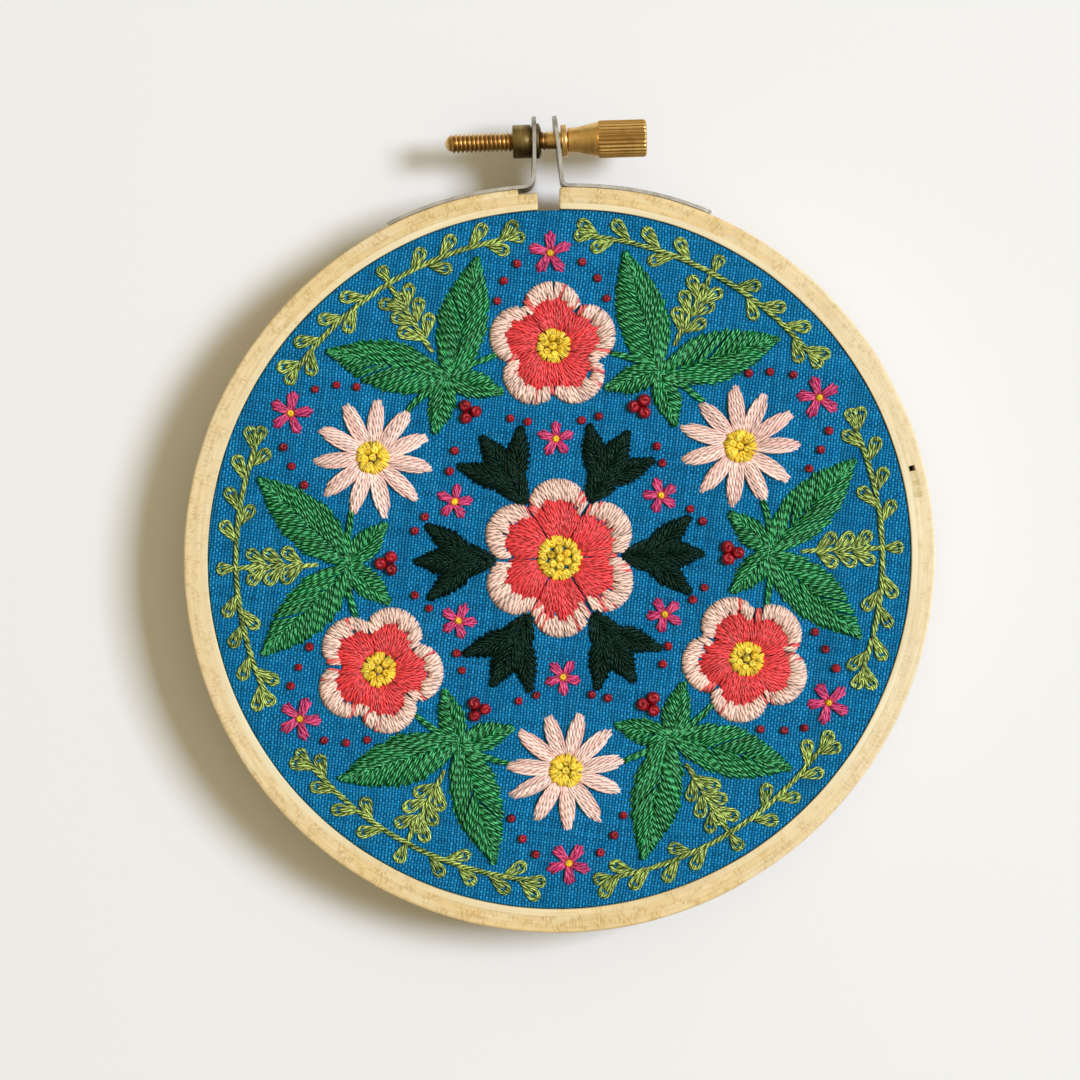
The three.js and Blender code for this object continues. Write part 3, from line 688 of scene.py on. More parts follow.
# The brackets.
# Two strips of thin grey steel are tacked to the outer ring on either side of the split. Each
# bends outwards into an ear with rounded corners and a hole for the screw.
STRIP_THICK = 0.56
STRIP_WIDTH = 7.0
STRIP_END = math.radians(25.5)
EAR_FOOT = 2.05
EAR_TOP = 64.9
EAR_CORNER = 2.2
SCREW_ACROSS = 61.4
SCREW_HEIGHT = 4.0
TACK_ANGLE = math.radians(18)
TACK_RADIUS = 0.9
TACK_HEIGHT = 0.3


def bracket_line(side, lean, bend):
    """The strip's middle line from its end on the ring, round the bend and up the ear. Each stretch
    is an arc or a straight line, and the arcs meet where their tangents agree."""

    def rest(from_top):
        """How far from the hoop's middle the strip's own middle lies on the ring."""
        return OUTER_RADIUS + 0.05 + STRIP_THICK / 2 + off_round(math.pi / 2 - side * from_top, 1)

    middle_x = EAR_FOOT + bend
    middle_y = math.sqrt((rest(middle_x / OUTER_RADIUS) + bend) ** 2 - middle_x**2)
    meet = math.atan2(middle_x, middle_y)
    on_ring = np.linspace(STRIP_END, meet, 40)
    ring_part = np.stack([np.sin(on_ring), np.cos(on_ring)], axis=-1) * rest(on_ring)[:, None]
    turns = np.linspace(-math.pi / 2 - meet, -math.pi - lean, 14)[1:]
    bend_part = np.stack([middle_x + bend * np.cos(turns), middle_y + bend * np.sin(turns)], axis=-1)
    foot = bend_part[-1]
    rise = np.linspace(0, EAR_TOP - foot[1], 30)[1:]
    ear_part = np.stack([foot[0] - rise * math.tan(lean), foot[1] + rise], axis=-1)
    line = np.concatenate([ring_part, bend_part, ear_part])
    return line * np.array([side, 1])


def bracket(name, side, lean, bend, hole, twist):
    """A rounded flat section carried along the strip's line. Near the ear's top and the strip's end
    its width narrows as w = W/2 - c + sqrt(c^2 - (c - s)^2), which rounds the corners. The ear leans
    and is twisted by small angles in degrees, with its front edge to the right."""
    line = bracket_line(side, math.radians(lean), bend)
    along = np.gradient(line, axis=0)
    along /= np.linalg.norm(along, axis=1)[:, None]
    normal = np.stack([along[:, 1], -along[:, 0]], axis=-1)
    from_top = EAR_TOP - line[:, 1]
    lengths = np.concatenate([[0], np.cumsum(np.linalg.norm(np.diff(line, axis=0), axis=1))])

    def narrowed(distance, corner):
        """How much narrower each side of the strip is at a distance from its end."""
        inside = np.clip(corner - distance, 0, corner)
        return corner - np.sqrt(np.maximum(corner**2 - inside**2, 0))

    cut = narrowed(from_top, EAR_CORNER) + narrowed(lengths, 0.8)
    half_width = STRIP_WIDTH / 2 - cut
    section = rounded_section(-1, 1, -1, 1, 0.12, 0.2)
    thick = section[:, 0] * STRIP_THICK / 2
    points_xy = line[:, None, :] + normal[:, None, :] * thick[None, :, None]
    height = SCREW_HEIGHT + section[None, :, 1] * half_width[:, None]
    points = np.concatenate([points_xy, height[..., None]], axis=-1)
    rise = np.clip((points[..., 1] - OUTER_RADIUS - 0.5) / 3, 0, 1)
    points[..., 0] += (height - SCREW_HEIGHT) * math.tan(math.radians(twist)) * rise
    if side > 0:
        points = points[::-1]
    ends = np.stack([points[0].mean(axis=0), points[-1].mean(axis=0)])
    count = points.shape[:2]
    vertices = np.concatenate([points.reshape(-1, 3), ends])
    faces = [grid_faces(*count), end_fans(*count)]
    piece = add_piece(name, vertices, faces, "hoop", crease=30)
    drill_ear(piece, hole)
    return piece


def drill_ear(piece, radius):
    """Cuts the screw's hole through an ear with a round cutter along X."""
    bpy.ops.mesh.primitive_cylinder_add(
        vertices=48,
        radius=radius * MM,
        depth=12 * MM,
        location=(HOOP_X, HOOP_Y + SCREW_ACROSS * MM, SCREW_HEIGHT * MM),
        rotation=(0, math.pi / 2, 0),
    )
    cutter = bpy.context.object
    drill = piece.modifiers.new("hole", "BOOLEAN")
    drill.operation = "DIFFERENCE"
    drill.solver = "EXACT"
    drill.object = cutter
    bpy.context.view_layer.update()
    worked = piece.evaluated_get(bpy.context.evaluated_depsgraph_get())
    drilled = bpy.data.meshes.new_from_object(worked)
    piece.modifiers.remove(drill)
    piece.data = drilled
    bpy.data.objects.remove(cutter)
    drilled.set_sharp_from_angle(angle=math.radians(30))


def turned_piece(name, profile, columns, axis, body, closed=True, numbers=None):
    """A profile turned once about an axis. profile rows are (distance along the axis, radius), and
    axis is (a point in mm, its direction). A closed profile makes a ring, an open one gets two poles."""
    point, direction = (np.array(value, float) for value in axis)
    direction /= np.linalg.norm(direction)
    aside = np.cross(direction, [0, 0, 1]) if abs(direction[2]) < 0.9 else np.array([1.0, 0, 0])
    aside /= np.linalg.norm(aside)
    upright = np.cross(direction, aside)
    angle = np.linspace(0, 2 * math.pi, columns, endpoint=False)
    spokes = np.cos(angle)[:, None] * aside + np.sin(angle)[:, None] * upright
    points = point + profile[:, 0][:, None, None] * direction + profile[:, 1][:, None, None] * spokes
    faces = [grid_faces(len(profile), columns, rows_close=closed)]
    vertices = points.reshape(-1, 3)
    if not closed:
        poles = point + np.array([profile[0, 0], profile[-1, 0]])[:, None] * direction
        vertices = np.concatenate([vertices, poles])
        faces.append(end_fans(len(profile), columns))
    return add_piece(name, vertices, faces, body, numbers, crease=35)


def tack(name, side):
    """The low domed head of the tack that holds a strip to the ring: a quarter ellipse turned about
    the tack's axis, on a short foot inside the strip."""
    turn = math.pi / 2 - side * TACK_ANGLE
    outwards = np.array([math.cos(turn), math.sin(turn), 0])
    foot = outwards * (OUTER_RADIUS + off_round(turn, 1) + STRIP_THICK)
    foot = foot + np.array([0, 0, SCREW_HEIGHT])
    rise = np.linspace(0, math.pi / 2, 7)[:-1]
    profile = np.stack([TACK_HEIGHT * np.sin(rise), TACK_RADIUS * np.cos(rise)], axis=-1)
    profile = np.concatenate([[[-TACK_HEIGHT, TACK_RADIUS]], profile])
    return turned_piece(name, profile, 24, (foot, outwards), "hoop", closed=False)


def metal_finish(name, colour, worn, dull, streak_axis, roughness):
    """Plain metal: fine streaks with brighter wear, patches dulled with age, and a dark colour where
    the mesh's number is high: dirt in thread roots and knurl grooves, and painted shade on the side
    of a nut or rod towards the ring. streak_axis is how fine the streaks are along X, Y and Z."""
    material, tree, shader = new_material(name)
    place = tree.nodes.new("ShaderNodeTexCoord").outputs["Object"]
    stretch = tree.nodes.new("ShaderNodeMapping")
    stretch.inputs["Scale"].default_value = streak_axis
    tree.links.new(place, stretch.inputs["Vector"])
    streaks = noise_at(tree, stretch.outputs[0], 1.0, 3, 0.6)
    patches = noise_at(tree, place, 420, 3, 0.6)
    tint = mixed(tree, between(tree, patches, 0.42, 0.68), colour, dull)
    tint = mixed(tree, times(tree, between(tree, streaks, 0.5, 0.75), 0.5), tint, worn)
    dirt_and_shade_colour = tuple(channel * 0.35 for channel in dull)
    tint = mixed(tree, times(tree, number_of(tree, "dirt_and_shade"), 0.7), tint, dirt_and_shade_colour)
    tree.links.new(tint, shader.inputs["Base Color"])
    shader_input(shader, "Metallic", 1.0)
    rough = maths(tree, "MULTIPLY_ADD", patches, 0.3, roughness - 0.15)
    tree.links.new(rough, shader.inputs["Roughness"])
    bumped(tree, shader, streaks, 0.00002, 0.5)
    return material


steel = metal_finish(
    "dull_steel",
    colour=(0.54, 0.52, 0.48),
    worn=(0.76, 0.74, 0.70),
    dull=(0.35, 0.325, 0.285),
    streak_axis=(300, 300, 4000),
    roughness=0.46,
)
left_strip = bracket("steel_left_bracket", -1, lean=1.6, bend=1.6, hole=2.35, twist=2.2)
right_strip = bracket("steel_right_bracket", 1, lean=5.2, bend=1.1, hole=1.8, twist=1.4)
tacks = [tack("left_tack", -1), tack("right_tack", 1)]
for piece in (left_strip, right_strip, *tacks):
    piece.data.materials.clear()
    piece.data.materials.append(steel)
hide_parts("left_bracket")
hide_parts("right_bracket")


# The nut.
# A round barrel of turned brass, gone brown, sits left of the left ear. Its neck goes through
# the ear and is closed over on the other side.
SCREW_AXIS = ((0, SCREW_ACROSS, SCREW_HEIGHT), (1, 0, 0))
NUT_COLUMNS = 64
# Where each corner of the nut's profile lies along X, and its radius: the bevelled barrel, the
# neck through the ear, the flange past it and the bore.
NUT_PROFILE = (
    (-5.0, 1.75), (-5.0, 2.2), (-4.92, 2.38), (-4.75, 2.46), (-2.42, 2.46), (-2.3, 2.4),
    (-2.26, 2.2), (-2.24, 2.0), (-1.57, 2.0), (-1.55, 2.5), (-1.45, 2.62), (-1.12, 2.6),
    (-0.98, 2.35), (-0.82, 1.95), (-0.78, 1.72), (-1.2, 1.62), (-4.6, 1.62),
)


def barrel_nut():
    """The closed profile turned about X. The side towards the ring is painted nearly black as shade:
    the number stored on the mesh is 1 there and 0 on the other side."""
    round_it = np.cos(np.linspace(0, 2 * math.pi, NUT_COLUMNS, endpoint=False))
    numbers = {"dirt_and_shade": np.tile(np.clip((round_it + 0.15) / 0.8, 0, 1), len(NUT_PROFILE))}
    profile = np.array(NUT_PROFILE)
    return turned_piece(
        "brass_nut", profile, NUT_COLUMNS, SCREW_AXIS, "hoop", numbers=numbers
    )


aged_brass = metal_finish(
    "aged_brass",
    colour=(0.31, 0.225, 0.09),
    worn=(0.66, 0.52, 0.25),
    dull=(0.13, 0.085, 0.034),
    streak_axis=(5000, 300, 300),
    roughness=0.36,
)
nut = barrel_nut()
nut.data.materials.append(aged_brass)
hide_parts("nut")


# The washer.
# A loose brass collar lies between the right ear and the knob, leaning a little.
WASHER_START = 2.2
WASHER_SAG = 0.1
WASHER_TILT = math.radians(2.6)
WASHER_THICK = 0.8
WASHER_BORE = 1.55
# Its bevelled edge: how far in from the nearer face, and the radius there.
WASHER_EDGE = ((0, 2.22), (0.07, 2.34), (0.2, 2.38))


def loose_washer():
    """A bevelled ring on the screw, tilted by a few degrees about Z."""
    foot = (WASHER_START, SCREW_ACROSS - WASHER_SAG, SCREW_HEIGHT)
    axis = (foot, (math.cos(WASHER_TILT), math.sin(WASHER_TILT), 0))
    far_edge = [(WASHER_THICK - x, radius) for x, radius in reversed(WASHER_EDGE)]
    profile = np.array([(0, WASHER_BORE), *WASHER_EDGE, *far_edge, (WASHER_THICK, WASHER_BORE)])
    return turned_piece("brass_washer", profile, 56, axis, "washer")


brass = metal_finish(
    "worn_brass",
    colour=(0.84, 0.535, 0.19),
    worn=(0.95, 0.72, 0.36),
    dull=(0.58, 0.34, 0.105),
    streak_axis=(5000, 300, 300),
    roughness=0.36,
)
washer = loose_washer()
washer.data.materials.append(brass)
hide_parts("washer")


# The thumbscrew.
# A fine right-hand thread runs from a rounded tip through nut and ears. The brass knob swells
# like a cone from the washer and ends in a straight-knurled grip with bevelled ends.
THREAD_PITCH = 0.635
THREAD_CREST = 1.42
THREAD_ROOT = 1.08
TIP_START = -14.9
TIP_LENGTH = 1.15
THREAD_END = 0.35
SHANK = 1.3
SHANK_END = 3.1
# The knob's cone: places along X and the radius at each.
CONE_PLACES = (3.12, 3.24, 4.6, 5.8, 7.2, 7.45)
CONE_RADII = (1.6, 1.82, 1.9, 2.14, 2.5, 2.56)
KNURLS = 28
KNURL_DEPTH = 0.2
GRIP_START = 7.5
GRIP_END = 14.7
GRIP_RADIUS = 2.75


def screw_radius(x, angle):
    """The radius at a place along X and an angle: tip dome, thread, shank, cone and knurls in turn.
    The thread is a cosine of x / pitch - angle / turn, and the knurls are |cos| ridges. The second
    result is 1 where dirt collects, in the thread roots and between the knurls, and where painted
    shade darkens the rod's side towards the ring."""
    phase = np.mod(x / THREAD_PITCH - angle / (2 * math.pi), 1)
    tooth = (0.5 + 0.5 * np.cos(2 * math.pi * phase)) ** 0.8
    fade = np.clip((x - TIP_START) / TIP_LENGTH, 0, 1)
    dome = THREAD_CREST * np.sqrt(1 - (1 - fade) ** 2) * 0.72 + 0.28 * THREAD_CREST * fade
    run_out = np.clip((THREAD_END - x) / 0.8, 0, 1)
    root = SHANK + (THREAD_ROOT - SHANK) * run_out
    crest = SHANK + (THREAD_CREST - SHANK) * run_out
    rod = np.minimum(root + (crest - root) * tooth, dome)
    body = np.where(x < SHANK_END, rod, np.interp(x, CONE_PLACES, CONE_RADII))
    bevel = np.minimum(x - GRIP_START, GRIP_END - x)
    ridge = np.abs(np.cos(angle * KNURLS / 2))
    grip = GRIP_RADIUS - KNURL_DEPTH * ridge**1.5 * np.clip(bevel / 0.35, 0, 1)
    grip = grip - 0.3 * np.clip(1 - bevel / 0.3, 0, 1) ** 1.5
    radius = np.where(x >= GRIP_START, grip, body)
    dirt_and_shade = np.where(x >= GRIP_START, ridge**4 * np.clip(bevel / 0.35, 0, 1), 0)
    dirt_and_shade = np.where((x < THREAD_END) & (x > TIP_START + 0.3), (1 - tooth) * run_out, dirt_and_shade)
    # Painted shade on the thread's and shank's side towards the ring.
    painted_underside_shade = 0.85 * np.clip((-np.cos(angle) - 0.05) / 0.7, 0, 1)
    return radius, np.where(x < WASHER_START, np.maximum(dirt_and_shade, painted_underside_shade), dirt_and_shade)


def screw_part(name, stations, columns):
    """The radius field on a grid of stations along X and columns round it, closed at both ends."""
    angle = np.linspace(0, 2 * math.pi, columns, endpoint=False)[None, :]
    x = stations[:, None]
    radius, dirt_and_shade = screw_radius(x, angle)
    y = SCREW_ACROSS + radius * np.cos(angle)
    z = SCREW_HEIGHT + radius * np.sin(angle)
    points = np.stack([np.broadcast_to(x, radius.shape), y, z], axis=-1)
    ends = np.array([[x, SCREW_ACROSS, SCREW_HEIGHT] for x in (stations[0], stations[-1])])
    vertices = np.concatenate([points.reshape(-1, 3), ends])
    numbers = {"dirt_and_shade": np.append(dirt_and_shade.ravel(), [0, 0])}
    faces = [grid_faces(*radius.shape), end_fans(*radius.shape)]
    return add_piece(name, vertices, faces, "screw", numbers, crease=50)


tip_stations = TIP_START + TIP_LENGTH * np.linspace(0.02, 1, 10) ** 2
thread_stations = np.arange(TIP_START + TIP_LENGTH, THREAD_END, THREAD_PITCH / 12)
shank_stations = [THREAD_END, 0.8, 1.4, 2.1, 2.3, 3.0, 3.08, 3.2]
rod_stations = np.concatenate([tip_stations, thread_stations[1:], shank_stations])
threaded = screw_part("brass_thread", rod_stations, 36)
knob_stations = np.concatenate(
    [
        [3.12, 3.14, 3.24],
        np.linspace(3.34, 7.4, 24),
        [7.44, GRIP_START, GRIP_START + 0.08, GRIP_START + 0.2, GRIP_START + 0.4],
        np.linspace(GRIP_START + 0.7, GRIP_END - 0.7, 10),
        [GRIP_END - 0.4, GRIP_END - 0.2, GRIP_END - 0.08, GRIP_END],
    ]
)
knob = screw_part("brass_knob", knob_stations, KNURLS * 8)
for piece in (threaded, knob):
    piece.data.materials.append(brass)
    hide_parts("screw")


# The stitching: how a strand lies.
# Every stitch is two strands of cotton floss, each about 0.4 mm thick, side by side. A strand
# comes up through the cloth, lies over it and goes down again at its other end.
STRAND = 0.2
STRAND_SIDES = 6
STEPS = np.array([0, 0.04, 0.14, 0.38, 0.62, 0.86, 0.96, 1])
UNDER_CLOTH = 0.3


def on_circle(radius, degrees):
    """Points in mm from the hoop's middle, from radii and angles in degrees."""
    turn = np.radians(degrees)
    return np.stack([radius * np.cos(turn), radius * np.sin(turn)], axis=-1)


def lay_stitches(starts, ends, bulge=0.12, lift=0.0, curve=0.0):
    """Strand paths from start to end points, which come as lists of arrays. A path rises from under
    the cloth within a few steps, then bulges as sin(pi s), and may curve sideways by the same sine."""
    starts = np.vstack(starts)
    chord = np.vstack(ends) - starts
    s = STEPS[None, :]
    arch = np.sin(math.pi * s)
    enter = np.clip(np.minimum(s, 1 - s) / 0.1, 0, 1) ** 0.6
    aside = np.stack([-chord[:, 1], chord[:, 0]], axis=-1)
    aside /= np.maximum(np.linalg.norm(aside, axis=1), 1e-6)[:, None]
    flat = starts[:, None, :] + chord[:, None, :] * s[..., None]
    flat = flat + aside[:, None, :] * (np.reshape(curve, (-1, 1)) * arch)[..., None]
    top = STRAND * 0.85 + np.reshape(lift, (-1, 1)) + np.reshape(bulge, (-1, 1)) * arch
    height = CLOTH_TOP - UNDER_CLOTH + (UNDER_CLOTH + top) * enter
    return np.concatenate([flat, np.broadcast_to(height, flat.shape[:2])[..., None]], axis=-1)


def in_pairs(paths, rng, spread):
    """Each path becomes two strands that lie side by side and cross over each other a little: they
    stand apart by spread at an angle that starts at random and turns evenly along the path."""
    count, steps = paths.shape[:2]
    along = np.gradient(paths[..., :2], axis=1)
    along /= np.maximum(np.linalg.norm(along, axis=-1), 1e-9)[..., None]
    aside = np.stack([-along[..., 1], along[..., 0]], axis=-1)
    first_turn = rng.uniform(-0.5, 0.5, (count, 1))
    turn = first_turn + rng.uniform(-1.3, 1.3, (count, 1)) * np.linspace(0, 1, steps)
    pair = []
    for sign in (-1, 1):
        moved = paths.copy()
        moved[..., :2] += sign * spread * np.cos(turn)[..., None] * aside
        moved[..., 2] += sign * spread * 0.6 * np.sin(turn)
        pair.append(moved)
    return np.concatenate(pair)


def strand_piece(name, paths, radius, rng, tint, finish, replaced):
    """Round tubes along n paths at once. At a point p with direction t the ring is
    p + r (aside cos a + lifted sin a), with aside = z x t and lifted = t x aside, and both ends close.
    u runs round the strand and v along it in mm. Each strand has a random tone, and a tint that is
    given or drawn between a pair of limits."""
    count, steps = paths.shape[:2]
    tone = rng.normal(0, 0.7, count).clip(-1.6, 1.6)
    tint = rng.uniform(*tint, count) if isinstance(tint, tuple) else np.broadcast_to(tint, count)
    along = np.gradient(paths, axis=1)
    along /= np.maximum(np.linalg.norm(along, axis=-1), 1e-9)[..., None]
    aside = np.stack([-along[..., 1], along[..., 0], np.zeros((count, steps))], axis=-1)
    aside /= np.maximum(np.linalg.norm(aside, axis=-1), 1e-9)[..., None]
    lifted = np.cross(along, aside)
    turn = np.arange(STRAND_SIDES) * 2 * math.pi / STRAND_SIDES
    thick = np.broadcast_to(np.reshape(radius, (-1, 1)), (count, steps)).copy()
    thick[:, [0, -1]] *= 0.7
    ring = aside[:, :, None, :] * np.cos(turn)[:, None] + lifted[:, :, None, :] * np.sin(turn)[:, None]
    tube = paths[:, :, None, :] + ring * thick[..., None, None]
    body = tube.reshape(count, -1, 3)
    vertices = np.concatenate([body, paths[:, :1], paths[:, -1:]], axis=1)
    per_strand = vertices.shape[1]
    offsets = (np.arange(count) * per_strand)[:, None, None]
    quads = (grid_faces(steps, STRAND_SIDES)[None] + offsets).reshape(-1, 4)
    fans = (end_fans(steps, STRAND_SIDES)[None] + offsets).reshape(-1, 3)
    travelled = np.linalg.norm(np.diff(paths, axis=1), axis=-1)
    travelled = np.concatenate([np.zeros((count, 1)), np.cumsum(travelled, axis=1)], axis=1)
    # Each strand's pattern starts at another place along the floss.
    travelled += (np.arange(count) * 7.31 % 40)[:, None]
    side = np.tile(np.arange(STRAND_SIDES), steps - 1)
    step = np.repeat(np.arange(steps - 1), STRAND_SIDES)
    u = np.stack([side, side + 1, side + 1, side], axis=-1) / STRAND_SIDES
    u = np.broadcast_to(u, (count,) + u.shape)
    v = np.stack([travelled[:, step]] * 2 + [travelled[:, step + 1]] * 2, axis=-1)
    uv = np.concatenate([np.stack([u, v], axis=-1).reshape(-1, 2), np.zeros((fans.size, 2))])
    numbers = {"tone": np.repeat(tone, per_strand), "tint": np.repeat(tint, per_strand)}
    piece = add_piece(name, vertices.reshape(-1, 3), [quads, fans], "hoop", numbers, uv, crease=80)
    piece.data.materials.append(finish)
    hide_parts(*replaced)


def floss_finish(name, colour, second, deep, shine, gloss=0.6):
    """Cotton floss of two plies that turn once in 2.4 mm, so that each shows as a slanting dash with
    painted shade in the groove beside it and a painted highlight along its crest, on the strand's
    upper side. tone makes a strand lighter or darker, and tint moves it towards a second colour. deep
    is how dark the painted shade in the grooves is, shine how much paler the painted highlight on the
    crest is, and gloss how strongly the strand mirrors the window."""
    material, tree, shader = new_material(name)
    uv = tree.nodes.new("ShaderNodeUVMap")
    uv.uv_map = "thread"
    parts = tree.nodes.new("ShaderNodeSeparateXYZ")
    tree.links.new(uv.outputs[0], parts.inputs[0])
    along = parts.outputs[1]
    slip = noise_at(tree, vector_of(tree, along, 0, 0), 0.9, 1)
    twist = maths(tree, "ADD", times(tree, along, 0.42), parts.outputs[0])
    twist = maths(tree, "ADD", twist, times(tree, slip, 0.35))
    ply = maths(tree, "ABSOLUTE", maths(tree, "SINE", times(tree, twist, math.pi * 2)))
    stretched = times(tree, along, 0.9)
    fibre = noise_at(tree, vector_of(tree, times(tree, twist, 14), stretched, 0), 2.0, 2)
    relief = maths(tree, "MULTIPLY_ADD", ply, 0.85, times(tree, fibre, 0.25))
    tinted = mixed(tree, number_of(tree, "tint"), colour, second)
    ridge = between(tree, ply, 0.15, 0.95)
    shade = maths(tree, "MULTIPLY_ADD", ridge, deep, 1.28 - deep)
    shade = times(tree, shade, maths(tree, "MULTIPLY_ADD", number_of(tree, "tone"), 0.28, 1.0))
    shade = times(tree, shade, maths(tree, "MULTIPLY_ADD", fibre, 0.9, 0.55))
    top = maths(tree, "SINE", times(tree, parts.outputs[0], math.pi * 2))
    crest = times(tree, between(tree, ply, 0.72, 1.0), between(tree, top, 0.4, 0.95))
    glint = times(tree, crest, between(tree, fibre, 0.42, 0.6))
    hue = [channel / max(second) for channel in second]
    pale = tree.nodes.new("ShaderNodeVectorMath")
    pale.operation = "MULTIPLY_ADD"
    tree.links.new(tinted, pale.inputs[0])
    pale.inputs[1].default_value = (1.5, 1.5, 1.5)
    pale.inputs[2].default_value = [shine * (0.4 + 0.6 * channel) for channel in hue]
    shaded = brightened(tree, tinted, shade)
    tree.links.new(mixed(tree, glint, shaded, pale.outputs[0]), shader.inputs["Base Color"])
    shader_input(shader, "Roughness", 0.34)
    shader_input(shader, "Specular IOR Level", gloss)
    shader_input(shader, "Specular Tint", [0.45 + 0.55 * channel for channel in hue] + [1])
    bumped(tree, shader, relief, 0.00016, 0.9)
    return material


# The leaf sprays.
# Six lengths of stem make the garland's circle. From the middle of each a pair of long fishbone
# leaves spreads outwards and a shorter pair inwards. Emerald floss, worked from the tip down,
# each stitch crossing the rib by a little.
SECTORS = 6
SECTOR = 360 / SECTORS
FIRST_FLOWER = 30
GARLAND = 31
STEM_CLEAR = 15.5
STEM_STITCH = 2.6
LEAF_LENGTH = 18.6
LEAF_WIDTH = 7.4
LEAF_TILT = 44
LEAF_FOOT = 0.6
INWARD_LENGTH = 8.4
INWARD_WIDTH = 4
INWARD_TILT = 136
LEAF_PITCH = 0.72
LEAF_SLANT = 1.45
LEAF_SPREAD = 0.215
LEAF_STRAND = 0.213
spray_angles = FIRST_FLOWER + SECTOR * (np.arange(SECTORS) + 0.5)
flower_angles = FIRST_FLOWER + SECTOR * np.arange(SECTORS)


def six_nodes(word):
    """The names of six like nodes, one in each sector."""
    return [f"{word}_{number + 1}" for number in range(SECTORS)]


def leaf_half_width(t):
    """Half the width of a leaf of length and width 1, from foot to tip: a cubic through 0 at both."""
    return 3 * (1 - t) ** 2 * t * 0.72 + 3 * (1 - t) * t**2 * 0.62


def placed(local, foot, degrees):
    """Points along and across a leaf, turned to its direction and moved to its foot."""
    turn = math.radians(degrees)
    spin = np.array([[math.cos(turn), math.sin(turn)], [-math.sin(turn), math.cos(turn)]])
    return local @ spin + foot


def fishbone_leaf(rng, length, width, foot, degrees):
    """Stitch ends for both halves of a leaf. A stitch starts on the edge at t = 1 - (1 - s)^1.6, for
    even s, and ends just past the rib, further down by 1.45 times the half width there. The tip is
    closed with straight stitches along the rib."""
    steps = int(length / LEAF_PITCH)
    t = 1 - (1 - (np.arange(steps) + 0.8) / (steps + 0.3)) ** 1.6
    starts, ends = [], []
    for side in (1, -1):
        edge_t = np.clip(t + side * 0.25 / steps + rng.normal(0, 0.005, steps), 0.02, 0.995)
        reach = leaf_half_width(edge_t) * width * rng.uniform(0.93, 1.06, steps) - 0.1
        edge = np.stack([edge_t * length, side * reach], axis=-1)
        down = edge[:, 0] - LEAF_SLANT * reach - rng.uniform(0.4, 0.9, steps)
        rib = np.stack([down, -side * rng.uniform(0.0, 0.3, steps)], axis=-1)
        rib[:, 0] = np.maximum(rib[:, 0], 0.01 * length + rng.uniform(0, 0.4, steps))
        starts.append(edge)
        ends.append(rib)
    starts.append(np.array([[length, 0], [length * 0.97, 0.3], [length * 0.97, -0.3]]))
    ends.append(np.array([[length * 0.78, 0.0], [length * 0.74, 0.15], [length * 0.74, -0.15]]))
    return placed(np.concatenate(starts), foot, degrees), placed(np.concatenate(ends), foot, degrees)


def stem_stitches(rng, line, stitch):
    """Stem stitch along a line of points: each stitch starts half its length before the last one
    ended, and slants across the line by a third of a millimetre."""
    gaps = np.linalg.norm(np.diff(line, axis=0), axis=1)
    travelled = np.concatenate([[0], np.cumsum(gaps)])
    begin = np.arange(0, travelled[-1] - stitch * 0.6, stitch / 2)
    finish = np.minimum(begin + stitch * rng.uniform(0.95, 1.08, len(begin)), travelled[-1])

    def on_line(distance):
        """The points at these distances along the line."""
        return np.stack([np.interp(distance, travelled, line[:, axis]) for axis in (0, 1)], axis=-1)

    def beside_line(distance, offset):
        """The same points, moved to the left of the line's direction."""
        way = on_line(distance + 0.1) - on_line(distance - 0.1)
        way /= np.linalg.norm(way, axis=1)[:, None]
        return on_line(distance) + offset * np.stack([-way[:, 1], way[:, 0]], axis=-1)

    return beside_line(begin, -0.16), beside_line(finish, 0.16)


rng = np.random.default_rng(11)
starts, ends, bulges = [], [], []
for angle in spray_angles:
    half = SECTOR / 2 - STEM_CLEAR
    arc = on_circle(GARLAND, angle + np.linspace(-half, half, 60))
    first, last = stem_stitches(rng, arc, STEM_STITCH)
    starts.append(first)
    ends.append(last)
    bulges.append(np.full(len(first), 0.2))
    outward_foot = on_circle(GARLAND - LEAF_FOOT, angle)
    inward_foot = on_circle(GARLAND, angle)
    for length, width, foot, tilt in (
        (INWARD_LENGTH, INWARD_WIDTH, inward_foot, INWARD_TILT),
        (INWARD_LENGTH, INWARD_WIDTH, inward_foot, -INWARD_TILT),
        (LEAF_LENGTH, LEAF_WIDTH, outward_foot, LEAF_TILT),
        (LEAF_LENGTH, LEAF_WIDTH, outward_foot, -LEAF_TILT),
    ):
        turn = angle + tilt + rng.uniform(-1, 1)
        first, last = fishbone_leaf(rng, length, width, foot, turn)
        starts.append(first)
        ends.append(last)
        bulges.append(np.full(len(first), 0.3))
sprays = in_pairs(lay_stitches(starts, ends, np.concatenate(bulges)), rng, LEAF_SPREAD)
emerald = floss_finish("emerald_floss", (0.0, 0.118, 0.024), (0.004, 0.35, 0.086), deep=1.2, shine=0.55)
strand_piece(
    "emerald_sprays", sprays, LEAF_STRAND, rng, (0, 0.5), emerald, six_nodes("spray")
)


# The dark leaves.
# Six leaves of three fingers each stand round the middle flower, in close fishbone stitch in
# bottle green.
DARK_START = 9.2
DARK_LENGTH = 12
DARK_WIDTH = 5.2
DARK_SIDE_START = 12.6
DARK_SIDE_LENGTH = 8.6
DARK_SIDE_WIDTH = 3.6
DARK_SIDE_TILT = 40

